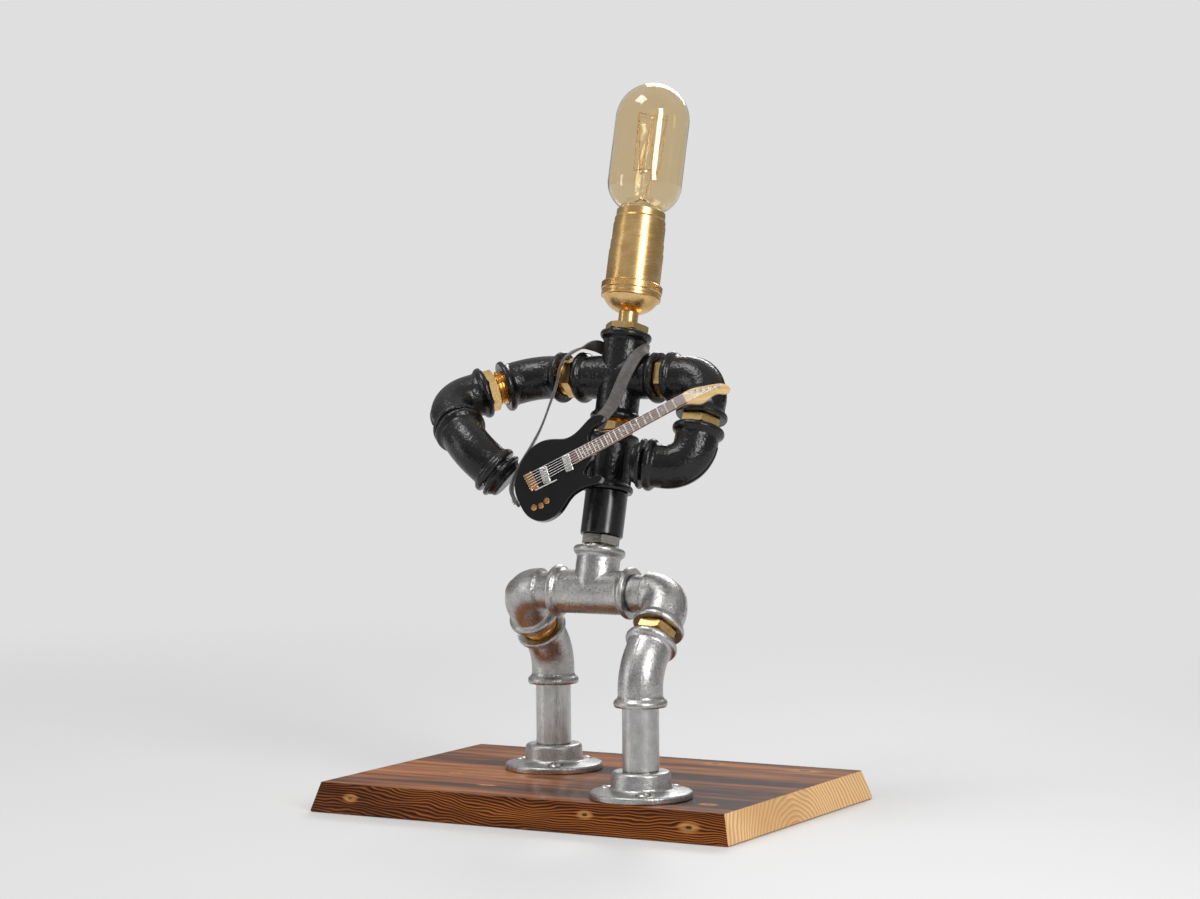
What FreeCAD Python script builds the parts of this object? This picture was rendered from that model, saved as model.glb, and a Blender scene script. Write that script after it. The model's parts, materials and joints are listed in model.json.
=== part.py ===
"""A table lamp in the shape of a seated-looking player, put together from half-inch threaded pipe fittings.

A varnished wooden board carries two legs of bright galvanised pipe. A tee joins the hips, and a black
upper body with two pipe arms rises from it, leaning back. A small electric guitar hangs on a leather
strap in front of the chest. A brass lamp holder is the head, with a tubular filament bulb in it.

Lengths are in millimetres and angles in degrees. +X runs along the board's long side to the figure's
left hand, +Y runs to the figure's back, +Z is up. The origin is the centre of the board's underside.
Left and right are the figure's own.
"""
import FreeCAD
import Part
import math
import os
from FreeCAD import Vector

# Board
board_length = 270.0
board_width = 182.0
board_thickness = 17.5
board_flare = 5.0
board_edge_round = 0.8

# Threaded pipe, half-inch size
pipe_radius = 10.65
pipe_wall = 2.65
pipe_bore_radius = pipe_radius - pipe_wall
thread_relief = 0.35
thread_radius = pipe_radius - thread_relief
thread_depth = 1.1
thread_pitch = 1.81
thread_fit = 0.15
thread_engaged = 11.0

# Cast fittings
fitting_wall = 2.7
body_radius = thread_radius + fitting_wall
bead_height = 2.5
bead_radius = body_radius + bead_height
bead_length = 4.4
bead_flare = 2.4
bend_inside = 2.5
bend_radius = body_radius + bend_inside
port_length = 10.5
elbow_reach = bend_radius + port_length
half_elbow_reach = 21.0
tee_port_length = 13.0
tee_reach = body_radius + tee_port_length
cross_port_length = 14.0
cross_reach = body_radius + cross_port_length
half_bend_radius = 30.0
street_leg_rise = 0.7
street_leg_radius = thread_radius + street_leg_rise
street_leg_gap = elbow_reach
seam_width = 1.1
seam_height = 0.5

# Hexagon nipples
hex_rise = 0.7
hex_across_flats = 2 * (thread_radius + hex_rise)
hex_thickness = 5.0
waist_gap = 7.5
chest_gap = 9.0
left_shoulder_gap = 6.5
left_arm_gap = 6.5
right_shoulder_gap = 11.0
right_arm_gap = 11.0
thigh_gap = 9.0
wrist_gap = 1.2

# Legs and hips
hip_centre_x = 14.0
hip_centre_y = -21.0
hip_centre_height = 130.4
flange_radius = 29.7
flange_rim = 4.0
flange_height = 15.5
flange_hub_wall = 7.3
flange_hub_radius = thread_radius + flange_hub_wall
flange_hub_round = 2.2
screw_circle_radius = 22.5
screw_count = 3
first_screw_angle = 62.0
screw_radius = 1.9
screw_hole_radius = 2.5
screw_head_radius = 3.7
screw_head_height = 1.7
screw_length = 14.0
pilot_clearance = 0.1

# Upper body
torso_lean = 15.3
sleeve_wall = 2.4
sleeve_radius = thread_radius + sleeve_wall
sleeve_length = 27.0
chest_socket_length = 34.0
chest_rib_count = 8
chest_rib_height = 0.7
chest_rib_width = 1.6

# Arms, as turns of each fitting from the line that the upper body hangs along
left_shoulder_swing = 9.4
left_forearm_twist = 16.4
right_shoulder_swing = 52.4
right_elbow_twist = 44.9
right_wrist_twist = 47.4
plug_face_gap = 2.2
plug_head_rise = 2.9
plug_head_radius = thread_radius + plug_head_rise
plug_head_length = 7.0

# Bulb
bulb_radius = 22.5
bulb_above_rim = 80.6
bulb_shoulder_height = 19.0
glass_wall = 0.9
bulb_cap_radius = 13.0
bulb_cap_pitch = 3.63
bulb_cap_height = 22.0
bulb_cap_below_rim = 0.6
bulb_fit = 0.15
bulb_neck_inset = 0.4
bulb_neck_radius = bulb_cap_radius - bulb_neck_inset
stem_radius = 5.9
stem_height = 8.2
press_radius = 2.0
press_top = 12.8
rod_radius = 1.3
button_glass_radius = 2.0
filament_radius = 0.28
support_radius = 0.28
cage_upper_radius = 10.0
cage_lower_radius = 7.6
cage_upper_height = 60.5
cage_lower_height = 25.4
cage_strands = 12
hook_rise = 1.2
support_fit = 0.03
feed_angles = (30, 330)

# Lamp holder, each layer sized from the bulb's cap outwards
screw_shell_wall = 0.3
screw_shell_height = 20.0
screw_shell_radius = bulb_cap_radius + bulb_fit + screw_shell_wall
insulator_wall = 0.85
insulator_radius = screw_shell_radius + insulator_wall
insulator_bore_radius = 4.0
shell_fit = 0.2
shell_wall = 0.8
shell_step = 0.35
shell_band_heights = (20.8, 6.1, 10.7, 3.9, 4.2)
groove_depth = 0.5
groove_width = 0.9
shell_radius = insulator_radius + shell_fit + shell_wall + groove_depth + 2 * shell_step
rim_gap = 0.55
rim_radius = screw_shell_radius + rim_gap + shell_wall
knurl_overhang = 1.95
knurl_radius = shell_radius + knurl_overhang
knurl_height = 4.9
knurl_count = 96
knurl_notch_width = 0.6
cap_lip_overhang = 1.5
cap_lip_radius = shell_radius + cap_lip_overhang
cap_height = 8.3
cap_lip_height = 4.0
cap_wall = 0.9
bushing_rise = 1.2
bushing_thickness = 3.9
neck_radius = 5.9
neck_length = 8.0
neck_wall = 1.0
neck_fit = 0.15
bushing_rise_over_thread = 1.2
bushing_across_flats = 2 * (thread_radius + bushing_rise_over_thread)

# Guitar, in its own frame: x from the bridge to the nut, y to the bass side, z out of the front.
# Its strings' ends are placed by X, by height along the upper body and by distance before its fittings
bridge_place = (-19.1, -76.27, 42.96)
nut_place = (63.8, -22.27, 23.31)
front_tilt = 15.5
front_swing = 25.2
guitar_body_thickness = 7.5
guitar_body_round = 0.6
neck_thickness = 4.2
neck_above_body = 1.0
neck_width_at_nut = 6.0
neck_width_at_body = 6.8
neck_pocket_x = 27.5
neck_joint_x = 41.0
fretboard_thickness = 1.3
fret_count = 20
fret_radius = 0.32
string_count = 6
string_radius = 0.16
string_spacing = 1.55
nut_string_spacing = 0.95
nut_rise = 0.5
nut_length = 1.2
string_fit = 0.02
string_height = 3.2
headstock_thickness = 2.6
headstock_drop = 0.4
headstock_angle = 4.0
tuner_post_radius = 0.5
tuner_offset = 0.3
pickup_length = 9.8
pickup_width = 4.8
pickup_height = 2.0
pickup_slant = 10.0

# Strap
strap_width = 7.5
strap_thickness = 1.2
strap_clearance = 0.8
strap_rest = 0.85
strap_neck_distance = body_radius + strap_rest + strap_width / 2
button_radius = 0.9
button_head_radius = 1.9
button_fit = 0.1

# Mains lead inside the pipes and the board
lead_radius = 2.4
lead_bend = 8.0
lead_hole_radius = 5.0
lead_groove_width = 8.0
lead_groove_height = 8.0
grommet_length = 9.0
grommet_fit = 0.1
lead_end_inset = 3.0

ORIGIN = Vector(0, 0, 0)
X = Vector(1, 0, 0)
Y = Vector(0, 1, 0)
Z = Vector(0, 0, 1)


def unit(v):
    return Vector(v).normalize()


def turned(v, axis, degrees):
    """The direction v, turned about an axis by the right-hand rule."""
    return FreeCAD.Rotation(unit(axis), degrees).multVec(v)


def square_to(v, axis):
    """The part of v that is square to an axis, as a unit vector."""
    a = unit(axis)
    return unit(v - a * v.dot(a))


def polar(radius, degrees, z=0.0):
    a = math.radians(degrees)
    return Vector(radius * math.cos(a), radius * math.sin(a), z)


def placed(shape, origin, z_axis, x_axis):
    """A copy of a shape, with its origin, +Z and +X carried to a place and two directions."""
    z = unit(z_axis)
    x = square_to(x_axis, z)
    y = z.cross(x)
    rows = (x.x, y.x, z.x, origin.x, x.y, y.y, z.y, origin.y, x.z, y.z, z.z, origin.z, 0, 0, 0, 1)
    moved = shape.copy()
    moved.Placement = FreeCAD.Placement(FreeCAD.Matrix(*rows))
    return moved


def cylinder(radius, start, end, axis=Z, origin=ORIGIN):
    """A cylinder along an axis, from one distance from the origin to another."""
    return Part.makeCylinder(radius, end - start, origin + axis * start, axis)


def joined(first, *others):
    return first.fuse(list(others)).removeSplitter()


def profile_wire(points):
    """A closed wire in the XZ plane. A point given as a pair of pairs is an arc's middle and end."""
    edges = []
    here = points[0]
    for step in list(points[1:]) + [points[0]]:
        start = Vector(here[0], 0, here[1])
        if isinstance(step[0], tuple):
            middle = Vector(step[0][0], 0, step[0][1])
            end = Vector(step[1][0], 0, step[1][1])
            edges.append(Part.Arc(start, middle, end).toShape())
            here = step[1]
        else:
            edges.append(Part.makeLine(start, Vector(step[0], 0, step[1])))
            here = step
    return Part.Wire(edges)


def turned_solid(points):
    """The solid that a closed profile of radius and height sweeps round Z."""
    return Part.Face(profile_wire(points)).revolve(ORIGIN, Z, 360)


def hexagon(across_flats, start, end, first_corner=0.0):
    radius = across_flats / math.sqrt(3)
    corners = [polar(radius, first_corner + 60 * i, start) for i in range(7)]
    prism = Part.Face(Part.makePolygon(corners)).extrude(Z * (end - start))
    chamfer = radius - across_flats / 2
    top = radius + chamfer
    waist = across_flats / 2 + chamfer * 0.25
    dome = turned_solid([(0, start), (waist, start), (top, start + chamfer * 0.6),
                         (top, end - chamfer * 0.6), (waist, end), (0, end)])
    return prism.common(dome)


# Fittings, each with its centre at the origin


def port(start, reach):
    """One port of a cast fitting along +Z, with the rounded bead at its mouth."""
    bead_start = reach - bead_length
    middle = (body_radius + bead_radius) / 2
    return turned_solid([
        (0, start), (body_radius, start), (body_radius, bead_start - bead_flare),
        ((body_radius + 0.35, bead_start - bead_flare * 0.35), (middle, bead_start + 0.2)),
        ((bead_radius, reach - bead_length * 0.5), (bead_radius - 0.7, reach)),
        (0, reach),
    ])


def tapped_bore(reach):
    """The tapped bore of a port, narrowing at its inner end to meet the passage behind it."""
    mouth = thread_radius + thread_fit
    chamfer = 0.9
    deep = reach - thread_engaged - 2.0
    return turned_solid([
        (0, deep), (pipe_bore_radius - 1.0, deep), (mouth, deep + 1.0), (mouth, reach - chamfer),
        (mouth + chamfer, reach), (0, reach),
    ])


def port_bore(reach):
    """The tapped bore with a straight passage behind it that starts at the fitting's centre."""
    return joined(cylinder(pipe_bore_radius, 0, reach - 1.0), tapped_bore(reach))


def bend(radius, turn, tube_radius):
    """The curved middle of an elbow, from +X round to the direction 180 - turn from it, in the XY plane."""
    start = radius * math.tan(math.radians(turn / 2))
    disc = Part.Face(Part.Wire(Part.makeCircle(tube_radius, Vector(start, 0, 0), X)))
    return disc.revolve(Vector(start, radius, 0), Z, -turn)


def seam(radius, turn):
    """The thin raised parting line along the outside of an elbow's bend."""
    start = radius * math.tan(math.radians(turn / 2))
    outside = body_radius + seam_height
    corners = [Vector(start, -body_radius * 0.9, -seam_width / 2), Vector(start, -outside, -seam_width / 2),
               Vector(start, -outside, seam_width / 2), Vector(start, -body_radius * 0.9, seam_width / 2)]
    strip = Part.Face(Part.makePolygon(corners + corners[:1]))
    return strip.revolve(Vector(start, radius, 0), Z, -turn)


def elbow(turn, radius, reach, street=False):
    """An elbow with one port along +X and one at 180 - turn from it in the XY plane.

    A street elbow's +X leg is a male thread, long enough to leave its stated gap to the next fitting."""
    start = radius * math.tan(math.radians(turn / 2))
    far = polar(1, 180 - turn)
    far_port = placed(port(start, reach), ORIGIN, far, Z)
    outer = joined(bend(radius, turn, body_radius), far_port, seam(radius, turn))
    passage = joined(bend(radius, turn, pipe_bore_radius), placed(tapped_bore(reach), ORIGIN, far, Z))
    if street:
        leg_end = street_leg_gap + thread_engaged
        leg = turned_solid([
            (0, start), (body_radius, start), (street_leg_radius, start + 1.6),
            (street_leg_radius, street_leg_gap - 1.0), (thread_radius, street_leg_gap - 0.4),
            (thread_radius, leg_end - 1.0), (thread_radius - 1.0, leg_end), (0, leg_end),
        ])
        outer = joined(outer, placed(leg, ORIGIN, X, Z))
        passage = joined(passage, cylinder(pipe_bore_radius, start, leg_end + 1, X))
    else:
        outer = joined(outer, placed(port(start, reach), ORIGIN, X, Z))
        passage = joined(passage, placed(tapped_bore(reach), ORIGIN, X, Z))
    return outer.cut(passage)


def branched(directions, reach):
    """A fitting whose ports point along the given directions, such as a tee or a cross."""
    outers = [placed(port(0, reach), ORIGIN, d, square_to(Vector(0.3, 0.5, 0.8), d)) for d in directions]
    bores = [placed(port_bore(reach), ORIGIN, d, square_to(Vector(0.3, 0.5, 0.8), d)) for d in directions]
    return joined(outers[0], *outers[1:]).cut(joined(bores[0], *bores[1:]))


def thread_profile(start, end):
    """The saw-tooth outline of an exposed thread, as points of radius and height going up."""
    turns = max(1, round((end - start) / thread_pitch))
    step = (end - start) / turns
    points = [(thread_radius - thread_depth, start)]
    for i in range(turns):
        points.append((thread_radius, start + step * (i + 0.5)))
        points.append((thread_radius - thread_depth, start + step * (i + 1)))
    return points


def nipple(gap, hex_at=0.5):
    """A hexagon nipple along +Z that fills the gap between two faces; the lower face is at the origin."""
    low = (gap - hex_thickness) * hex_at
    high = low + hex_thickness
    end = gap + thread_engaged
    outline = [(0, -thread_engaged), (thread_radius - 1.0, -thread_engaged)]
    outline += [(thread_radius, 1.0 - thread_engaged), (thread_radius, 0)]
    outline += thread_profile(0.3, low) + thread_profile(high, gap - 0.3)
    outline += [(thread_radius, gap), (thread_radius, end - 1.0), (thread_radius - 1.0, end), (0, end)]
    body = joined(turned_solid(outline), hexagon(hex_across_flats, low, high))
    return body.cut(cylinder(pipe_bore_radius, -thread_engaged - 1, end + 1))


def close_nipple(gap):
    """A plain close nipple, all thread, between two faces that nearly meet."""
    end = gap + thread_engaged
    tube = cylinder(thread_radius, -thread_engaged, end)
    return tube.cut(cylinder(pipe_bore_radius, -thread_engaged - 1, end + 1))


def hand_plug():
    """A hollow plug along +Z that closes an arm as a hand; the arm's face is at the origin."""
    head = plug_face_gap + plug_head_length
    outline = [
        (0, -thread_engaged), (thread_radius, -thread_engaged), (thread_radius, 0),
        (thread_radius - 0.4, plug_face_gap), (plug_head_radius + 1.2, plug_face_gap),
        ((plug_head_radius + 1.8, plug_face_gap + 1.2), (plug_head_radius + 0.2, plug_face_gap + 2.6)),
        (plug_head_radius - 1.6, head - 2.0),
        ((plug_head_radius - 2.2, head - 0.6), (plug_head_radius - 3.6, head)),
        (0, head),
    ]
    hollow = cylinder(pipe_bore_radius - 1.0, -thread_engaged - 1, head - 3.0)
    return turned_solid(outline).cut(hollow)


# Places of the figure's joints

hip_axis = X
front = Y * -1
hip_centre = Vector(hip_centre_x, hip_centre_y, hip_centre_height)
hip_offset = tee_reach + street_leg_gap
thigh_length = elbow_reach + thigh_gap + half_elbow_reach
thigh_run = thigh_length * math.cos(math.radians(45))

torso_axis = turned(Z, X, -torso_lean)
torso_down = torso_axis * -1
torso_front = square_to(front, torso_axis)
waist = hip_centre + torso_axis * tee_reach
sleeve_base = tee_reach + waist_gap
sleeve_top = sleeve_base + sleeve_length
chest_nipple_base = sleeve_top + chest_socket_length
cross_distance = chest_nipple_base + chest_gap + cross_reach
shoulders = hip_centre + torso_axis * cross_distance
neck_face = shoulders + torso_axis * cross_reach

left_elbow_point = shoulders + X * (cross_reach + left_shoulder_gap + elbow_reach)
left_arm_axis = turned(torso_down, X, -left_shoulder_swing)
left_forearm_point = left_elbow_point + left_arm_axis * (2 * elbow_reach + left_arm_gap)
left_hand_axis = turned(X * -1, left_arm_axis, -left_forearm_twist)

right_bend_point = shoulders - X * (cross_reach + right_shoulder_gap + half_elbow_reach)
right_arm_side = turned(torso_down, X, -right_shoulder_swing)
right_arm_axis = unit(right_arm_side - X)
right_elbow_point = right_bend_point + right_arm_axis * (half_elbow_reach + right_arm_gap + elbow_reach)
right_forearm_axis = turned(square_to(torso_down, right_arm_axis), right_arm_axis, right_elbow_twist)
right_wrist_point = right_elbow_point + right_forearm_axis * (elbow_reach + wrist_gap + half_elbow_reach)
right_wrist_side = turned(right_arm_axis * -1, right_forearm_axis, -right_wrist_twist)
right_hand_axis = unit(right_forearm_axis + right_wrist_side)


def leg_frame(side):
    """A leg's hip, knee and foot points. The left leg steps forward and the right leg back."""
    hip = hip_centre + hip_axis * (side * hip_offset)
    step = front * side
    knee = hip + step * thigh_run - Z * thigh_run
    foot = Vector(knee.x, knee.y, board_thickness)
    return hip, knee, foot, step


# Board, feet and legs


def screw_points(foot):
    step = 360 / screw_count
    return [foot + polar(screw_circle_radius, first_screw_angle + step * i) for i in range(screw_count)]


def board_blank():
    """The board before it is drilled, wider at its foot than at its top."""
    def outline(z, grow):
        x = board_length / 2 + grow
        y = board_width / 2 + grow
        corners = [Vector(-x, -y, z), Vector(x, -y, z), Vector(x, y, z), Vector(-x, y, z)]
        return Part.makePolygon(corners + corners[:1])

    board = Part.makeLoft([outline(0, board_flare), outline(board_thickness, 0)], True, True)
    return board.makeFillet(board_edge_round, board.Edges)


def groove_box(start, width, height):
    """A box along the groove in the underside, from a distance behind the lead's foot to past the edge."""
    foot = leg_frame(-1)[2]
    return Part.makeBox(width, board_width, height, Vector(foot.x - width / 2, foot.y + start, 0))


def base_board():
    board = board_blank()
    depth = screw_length + pilot_clearance - flange_rim
    for side in (1, -1):
        for point in screw_points(leg_frame(side)[2]):
            board = board.cut(cylinder(screw_radius + pilot_clearance, -depth, 1, Z, point))
    board = board.cut(cylinder(lead_hole_radius, -board_thickness - 1, 1, Z, leg_frame(-1)[2]))
    return board.cut(groove_box(0, lead_groove_width, lead_groove_height))


def grommet_start():
    """How far behind the lead's foot the grommet's inner end is."""
    return board_width / 2 + board_flare - grommet_length - leg_frame(-1)[2].y


def cable_grommet():
    """The rubber block that fills the end of the groove, flush with the board's rear edge."""
    width = lead_groove_width - grommet_fit
    block = groove_box(grommet_start(), width, lead_groove_height - grommet_fit)
    foot = leg_frame(-1)[2]
    centre = Vector(foot.x, foot.y, lead_groove_height / 2)
    return block.common(board_blank()).cut(cylinder(lead_radius + grommet_fit, 0, board_width, Y, centre))


def foot_flange(side):
    foot = leg_frame(side)[2]
    rim_round = 1.4
    slope = 1.2
    r = flange_hub_round
    hub = flange_hub_radius
    hub_top = hub - 0.4
    body = turned_solid([
        (0, 0), (flange_radius - 0.5, 0), (flange_radius, 0.5), (flange_radius, flange_rim - rim_round),
        ((flange_radius - rim_round * 0.3, flange_rim - rim_round * 0.3),
         (flange_radius - rim_round, flange_rim)),
        (hub + 2.2, flange_rim + slope),
        ((hub + 0.6, flange_rim + slope + 0.6), (hub, flange_rim + slope + 2.2)),
        (hub_top, flange_height - r),
        ((hub_top - r * 0.3, flange_height - r * 0.3), (hub_top - r, flange_height)),
        (0, flange_height),
    ])
    bore = thread_radius + thread_fit
    body = body.cut(cylinder(pipe_bore_radius, -1, flange_height))
    body = body.cut(cylinder(bore, flange_height - thread_engaged, flange_height + 1))
    for point in screw_points(ORIGIN):
        body = body.cut(cylinder(screw_hole_radius, -1, flange_height, Z, point))
        body = body.cut(cylinder(screw_head_radius + 1.0, flange_rim, flange_height * 0.6, Z, point))
    return placed(body, foot, Z, X)


def wood_screw():
    """A screw with a low domed head and a crossed recess, with z from the board's top."""
    top = flange_rim + screw_head_height
    tip = flange_rim - screw_length
    head = turned_solid([
        (0, flange_rim), (screw_head_radius, flange_rim), (screw_head_radius, flange_rim + 0.5),
        ((screw_head_radius * 0.75, flange_rim + screw_head_height * 0.8), (1.0, top)), (0, top),
    ])
    shank = turned_solid([(0, tip), (0.5, tip), (screw_radius, tip + 3.0), (screw_radius, flange_rim),
                          (0, flange_rim)])
    screw = joined(head, shank)
    slot_depth = screw_head_height * 0.6
    slot_length = screw_head_radius * 1.1
    slot_width = 0.7
    corner = Vector(-slot_length / 2, -slot_width / 2, top - slot_depth)
    slot = Part.makeBox(slot_length, slot_width, slot_depth, corner)
    for angle in (20, 110):
        screw = screw.cut(slot.rotated(ORIGIN, Z, angle))
    return screw


def flange_screws():
    places = screw_points(leg_frame(1)[2]) + screw_points(leg_frame(-1)[2])
    return Part.makeCompound([placed(wood_screw(), point, Z, X) for point in places])


def shin_pipe(side):
    knee, foot = leg_frame(side)[1:3]
    low = flange_height - thread_engaged + 1.0
    high = knee.z - foot.z - half_elbow_reach + thread_engaged - 1.0
    hub_top = flange_height
    knee_face = high - thread_engaged + 1.0
    body = turned_solid([
        (0, low), (thread_radius, low), (thread_radius, hub_top), (pipe_radius, hub_top + 0.5),
        (pipe_radius, knee_face - 0.5), (thread_radius, knee_face), (thread_radius, high), (0, high),
    ])
    return placed(body.cut(cylinder(pipe_bore_radius, low - 1, high + 1)), foot, Z, X)


def knee_elbow(side):
    """The knee's 45 degree elbow: one port straight down, one up and back along the thigh."""
    hip, knee = leg_frame(side)[:2]
    body = elbow(45, half_bend_radius, half_elbow_reach)
    down = Z * -1
    thigh = unit(hip - knee)
    return placed(body, knee, down.cross(thigh), down)


def thigh_nipple(side):
    hip, knee = leg_frame(side)[:2]
    thigh = unit(knee - hip)
    return placed(nipple(thigh_gap, 0.25), hip + thigh * elbow_reach, thigh, hip_axis)


def hip_elbow(side):
    hip, knee = leg_frame(side)[:2]
    inward = hip_axis * -side
    thigh = unit(knee - hip)
    body = elbow(90, bend_radius, elbow_reach, street=True)
    return placed(body, hip, inward.cross(thigh), inward)


def hip_tee():
    """A tee whose run joins the hips and whose branch leans back with the upper body."""
    body = branched([hip_axis, hip_axis * -1, torso_axis], tee_reach)
    return placed(body, hip_centre, Z, X)


# Upper body, from the tee's branch to the neck


def on_torso(shape, distance):
    return placed(shape, hip_centre + torso_axis * distance, torso_axis, X)


def waist_nipple():
    return on_torso(nipple(waist_gap, 0.8), tee_reach)


def torso_sleeve():
    """A smooth extension piece: tapped over the waist nipple, with a male thread at its top."""
    bore = thread_radius + thread_fit
    top = sleeve_length + thread_engaged
    body = turned_solid([
        (0, 0), (sleeve_radius - 0.6, 0), (sleeve_radius, 0.6), (sleeve_radius, sleeve_length - 0.6),
        (sleeve_radius - 0.6, sleeve_length), (thread_radius, sleeve_length), (thread_radius, top - 1.0),
        (thread_radius - 1.0, top), (0, top),
    ])
    tapped = cylinder(bore, -1, thread_engaged + 1.0)
    return on_torso(body.cut(tapped).cut(cylinder(pipe_bore_radius, -1, top + 1)), sleeve_base)


def chest_socket():
    """A straight coupling with a bead at each end and raised ribs along its sides."""
    half = chest_socket_length / 2
    upper = port(0, half)
    lower = placed(port(0, half), ORIGIN, Z * -1, X)
    body = joined(upper, lower)
    rib_end = half - bead_length
    for i in range(chest_rib_count):
        rib = Part.makeBox(body_radius + chest_rib_height, chest_rib_width, 2 * rib_end,
                           Vector(0, -chest_rib_width / 2, -rib_end))
        body = body.fuse(rib.rotated(ORIGIN, Z, 360 / chest_rib_count * (i + 0.5)))
    bore = joined(port_bore(half), placed(port_bore(half), ORIGIN, Z * -1, X))
    return on_torso(body.removeSplitter().cut(bore), sleeve_top + half)


def chest_nipple():
    return on_torso(nipple(chest_gap, 0.5), chest_nipple_base)


def shoulder_cross():
    body = branched([X, X * -1, Z, Z * -1], cross_reach)
    return placed(body, shoulders, torso_axis, X)


def neck_bushing():
    """The hexagon reducing bush that closes the neck port round the lamp holder's tube."""
    top = bushing_rise + bushing_thickness
    plug = cylinder(thread_radius, -thread_engaged + 1.0, bushing_rise)
    body = joined(plug, hexagon(bushing_across_flats, bushing_rise, top, 15))
    body = body.cut(cylinder(neck_radius + neck_fit, -thread_engaged, top + 1))
    return placed(body, neck_face, torso_axis, X)


# Arms


def left_shoulder_nipple():
    return placed(nipple(left_shoulder_gap, 0.6), shoulders + X * cross_reach, X, torso_axis)


def left_upper_elbow():
    body = elbow(90, bend_radius, elbow_reach)
    inward = X * -1
    return placed(body, left_elbow_point, inward.cross(left_arm_axis), inward)


def left_arm_nipple():
    start = left_elbow_point + left_arm_axis * elbow_reach
    return placed(nipple(left_arm_gap, 0.4), start, left_arm_axis, X)


def left_forearm_elbow():
    body = elbow(90, bend_radius, elbow_reach)
    upward = left_arm_axis * -1
    return placed(body, left_forearm_point, upward.cross(left_hand_axis), upward)


def left_hand_plug():
    return placed(hand_plug(), left_forearm_point + left_hand_axis * elbow_reach, left_hand_axis, Z)


def right_shoulder_nipple():
    return placed(nipple(right_shoulder_gap, 0.4), shoulders - X * cross_reach, X * -1, torso_axis)


def right_shoulder_elbow():
    body = elbow(45, half_bend_radius, half_elbow_reach)
    return placed(body, right_bend_point, X.cross(right_arm_axis), X)


def right_arm_nipple():
    start = right_bend_point + right_arm_axis * half_elbow_reach
    return placed(nipple(right_arm_gap, 0.85), start, right_arm_axis, Z)


def right_upper_elbow():
    body = elbow(90, bend_radius, elbow_reach)
    inward = right_arm_axis * -1
    return placed(body, right_elbow_point, inward.cross(right_forearm_axis), inward)


def right_wrist_nipple():
    start = right_elbow_point + right_forearm_axis * elbow_reach
    return placed(close_nipple(wrist_gap), start, right_forearm_axis, Z)


def right_forearm_elbow():
    body = elbow(45, half_bend_radius, half_elbow_reach)
    inward = right_forearm_axis * -1
    return placed(body, right_wrist_point, inward.cross(right_hand_axis), inward)


def right_hand_plug():
    return placed(hand_plug(), right_wrist_point + right_hand_axis * half_elbow_reach, right_hand_axis, Z)


# Lamp holder, along the neck, with z from the neck port's face

neck_top = bushing_rise + bushing_thickness + neck_length
cap_lip_base = neck_top + cap_height
knurl_base = cap_lip_base + cap_lip_height
shell_base = knurl_base + knurl_height
shell_height = sum(shell_band_heights)
rim_top = shell_base + shell_height
insulator_top = rim_top - shell_band_heights[4] - 1.0
insulator_base = knurl_base + 1.5
holder_floor = rim_top - bulb_cap_below_rim - bulb_cap_height - 4.0


def on_neck(shape):
    return placed(shape, neck_face, torso_axis, X)


def lamp_neck_tube():
    low = 1.0 - thread_engaged
    high = neck_top + cap_wall + 2.0
    return on_neck(cylinder(neck_radius, low, high).cut(cylinder(neck_radius - neck_wall, low - 1, high + 1)))


def socket_cap():
    """The spun bottom of the lamp holder: a shallow bowl with a rolled lip."""
    r0 = neck_radius + neck_fit
    r1 = cap_lip_radius - 1.4
    middle = (r0 + r1) * 0.56
    rise = cap_height
    outer = [
        (r0 + cap_wall, neck_top), ((middle, neck_top + rise * 0.36), (r1, neck_top + rise)),
        (cap_lip_radius, cap_lip_base + 0.3), (cap_lip_radius, cap_lip_base + 1.4),
        (cap_lip_radius - 0.5, cap_lip_base + 1.7), (cap_lip_radius - 0.5, cap_lip_base + 2.0),
        (cap_lip_radius, cap_lip_base + 2.3), (cap_lip_radius, knurl_base),
    ]
    inner = [
        (cap_lip_radius - 0.5 - cap_wall, knurl_base), (r1 - cap_wall, neck_top + rise + 0.3),
        ((middle - cap_wall * 0.6, neck_top + rise * 0.36 + cap_wall), (r0, neck_top + cap_wall)),
        (r0, neck_top),
    ]
    return on_neck(turned_solid(outer + inner))


def socket_shell():
    """The brass shell, stepped in towards the rim, with a knurled ring at its foot."""
    points = [(knurl_radius - 0.6, knurl_base), (knurl_radius, knurl_base + 0.6),
              (knurl_radius, shell_base - 0.6), (knurl_radius - 0.6, shell_base),
              (shell_radius, shell_base + 0.2)]
    z = shell_base
    r = shell_radius
    for height in shell_band_heights[:3]:
        z += height
        points += [(r, z - groove_width), (r - groove_depth, z - groove_width), (r - groove_depth, z)]
        r -= shell_step
        points += [(r, z)]
    z += shell_band_heights[3]
    points += [(r, z - 1.2), (rim_radius, z), (rim_radius, rim_top - 0.3), (rim_radius - 0.3, rim_top)]
    wall_radius = rim_radius - shell_wall
    inner_radius = shell_radius - groove_depth - shell_wall - 2 * shell_step
    points += [(wall_radius, rim_top), (wall_radius, z - 0.8), (inner_radius, insulator_top),
               (inner_radius, knurl_base)]
    shell = turned_solid(points)
    corner = Vector(knurl_radius - 0.35, -knurl_notch_width / 2, knurl_base + 0.8)
    notch = Part.makeBox(1.2, knurl_notch_width, knurl_height - 1.6, corner)
    notches = [notch.rotated(ORIGIN, Z, 360 / knurl_count * i) for i in range(knurl_count)]
    return on_neck(shell.cut(Part.makeCompound(notches)))


def socket_insulator():
    """The porcelain body that holds the screw shell, with a floor under the centre contact."""
    body = cylinder(insulator_radius, insulator_base, insulator_top)
    body = body.cut(cylinder(screw_shell_radius, holder_floor, insulator_top + 1))
    return on_neck(body.cut(cylinder(insulator_bore_radius, insulator_base - 1, holder_floor - 3.0)))


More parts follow.
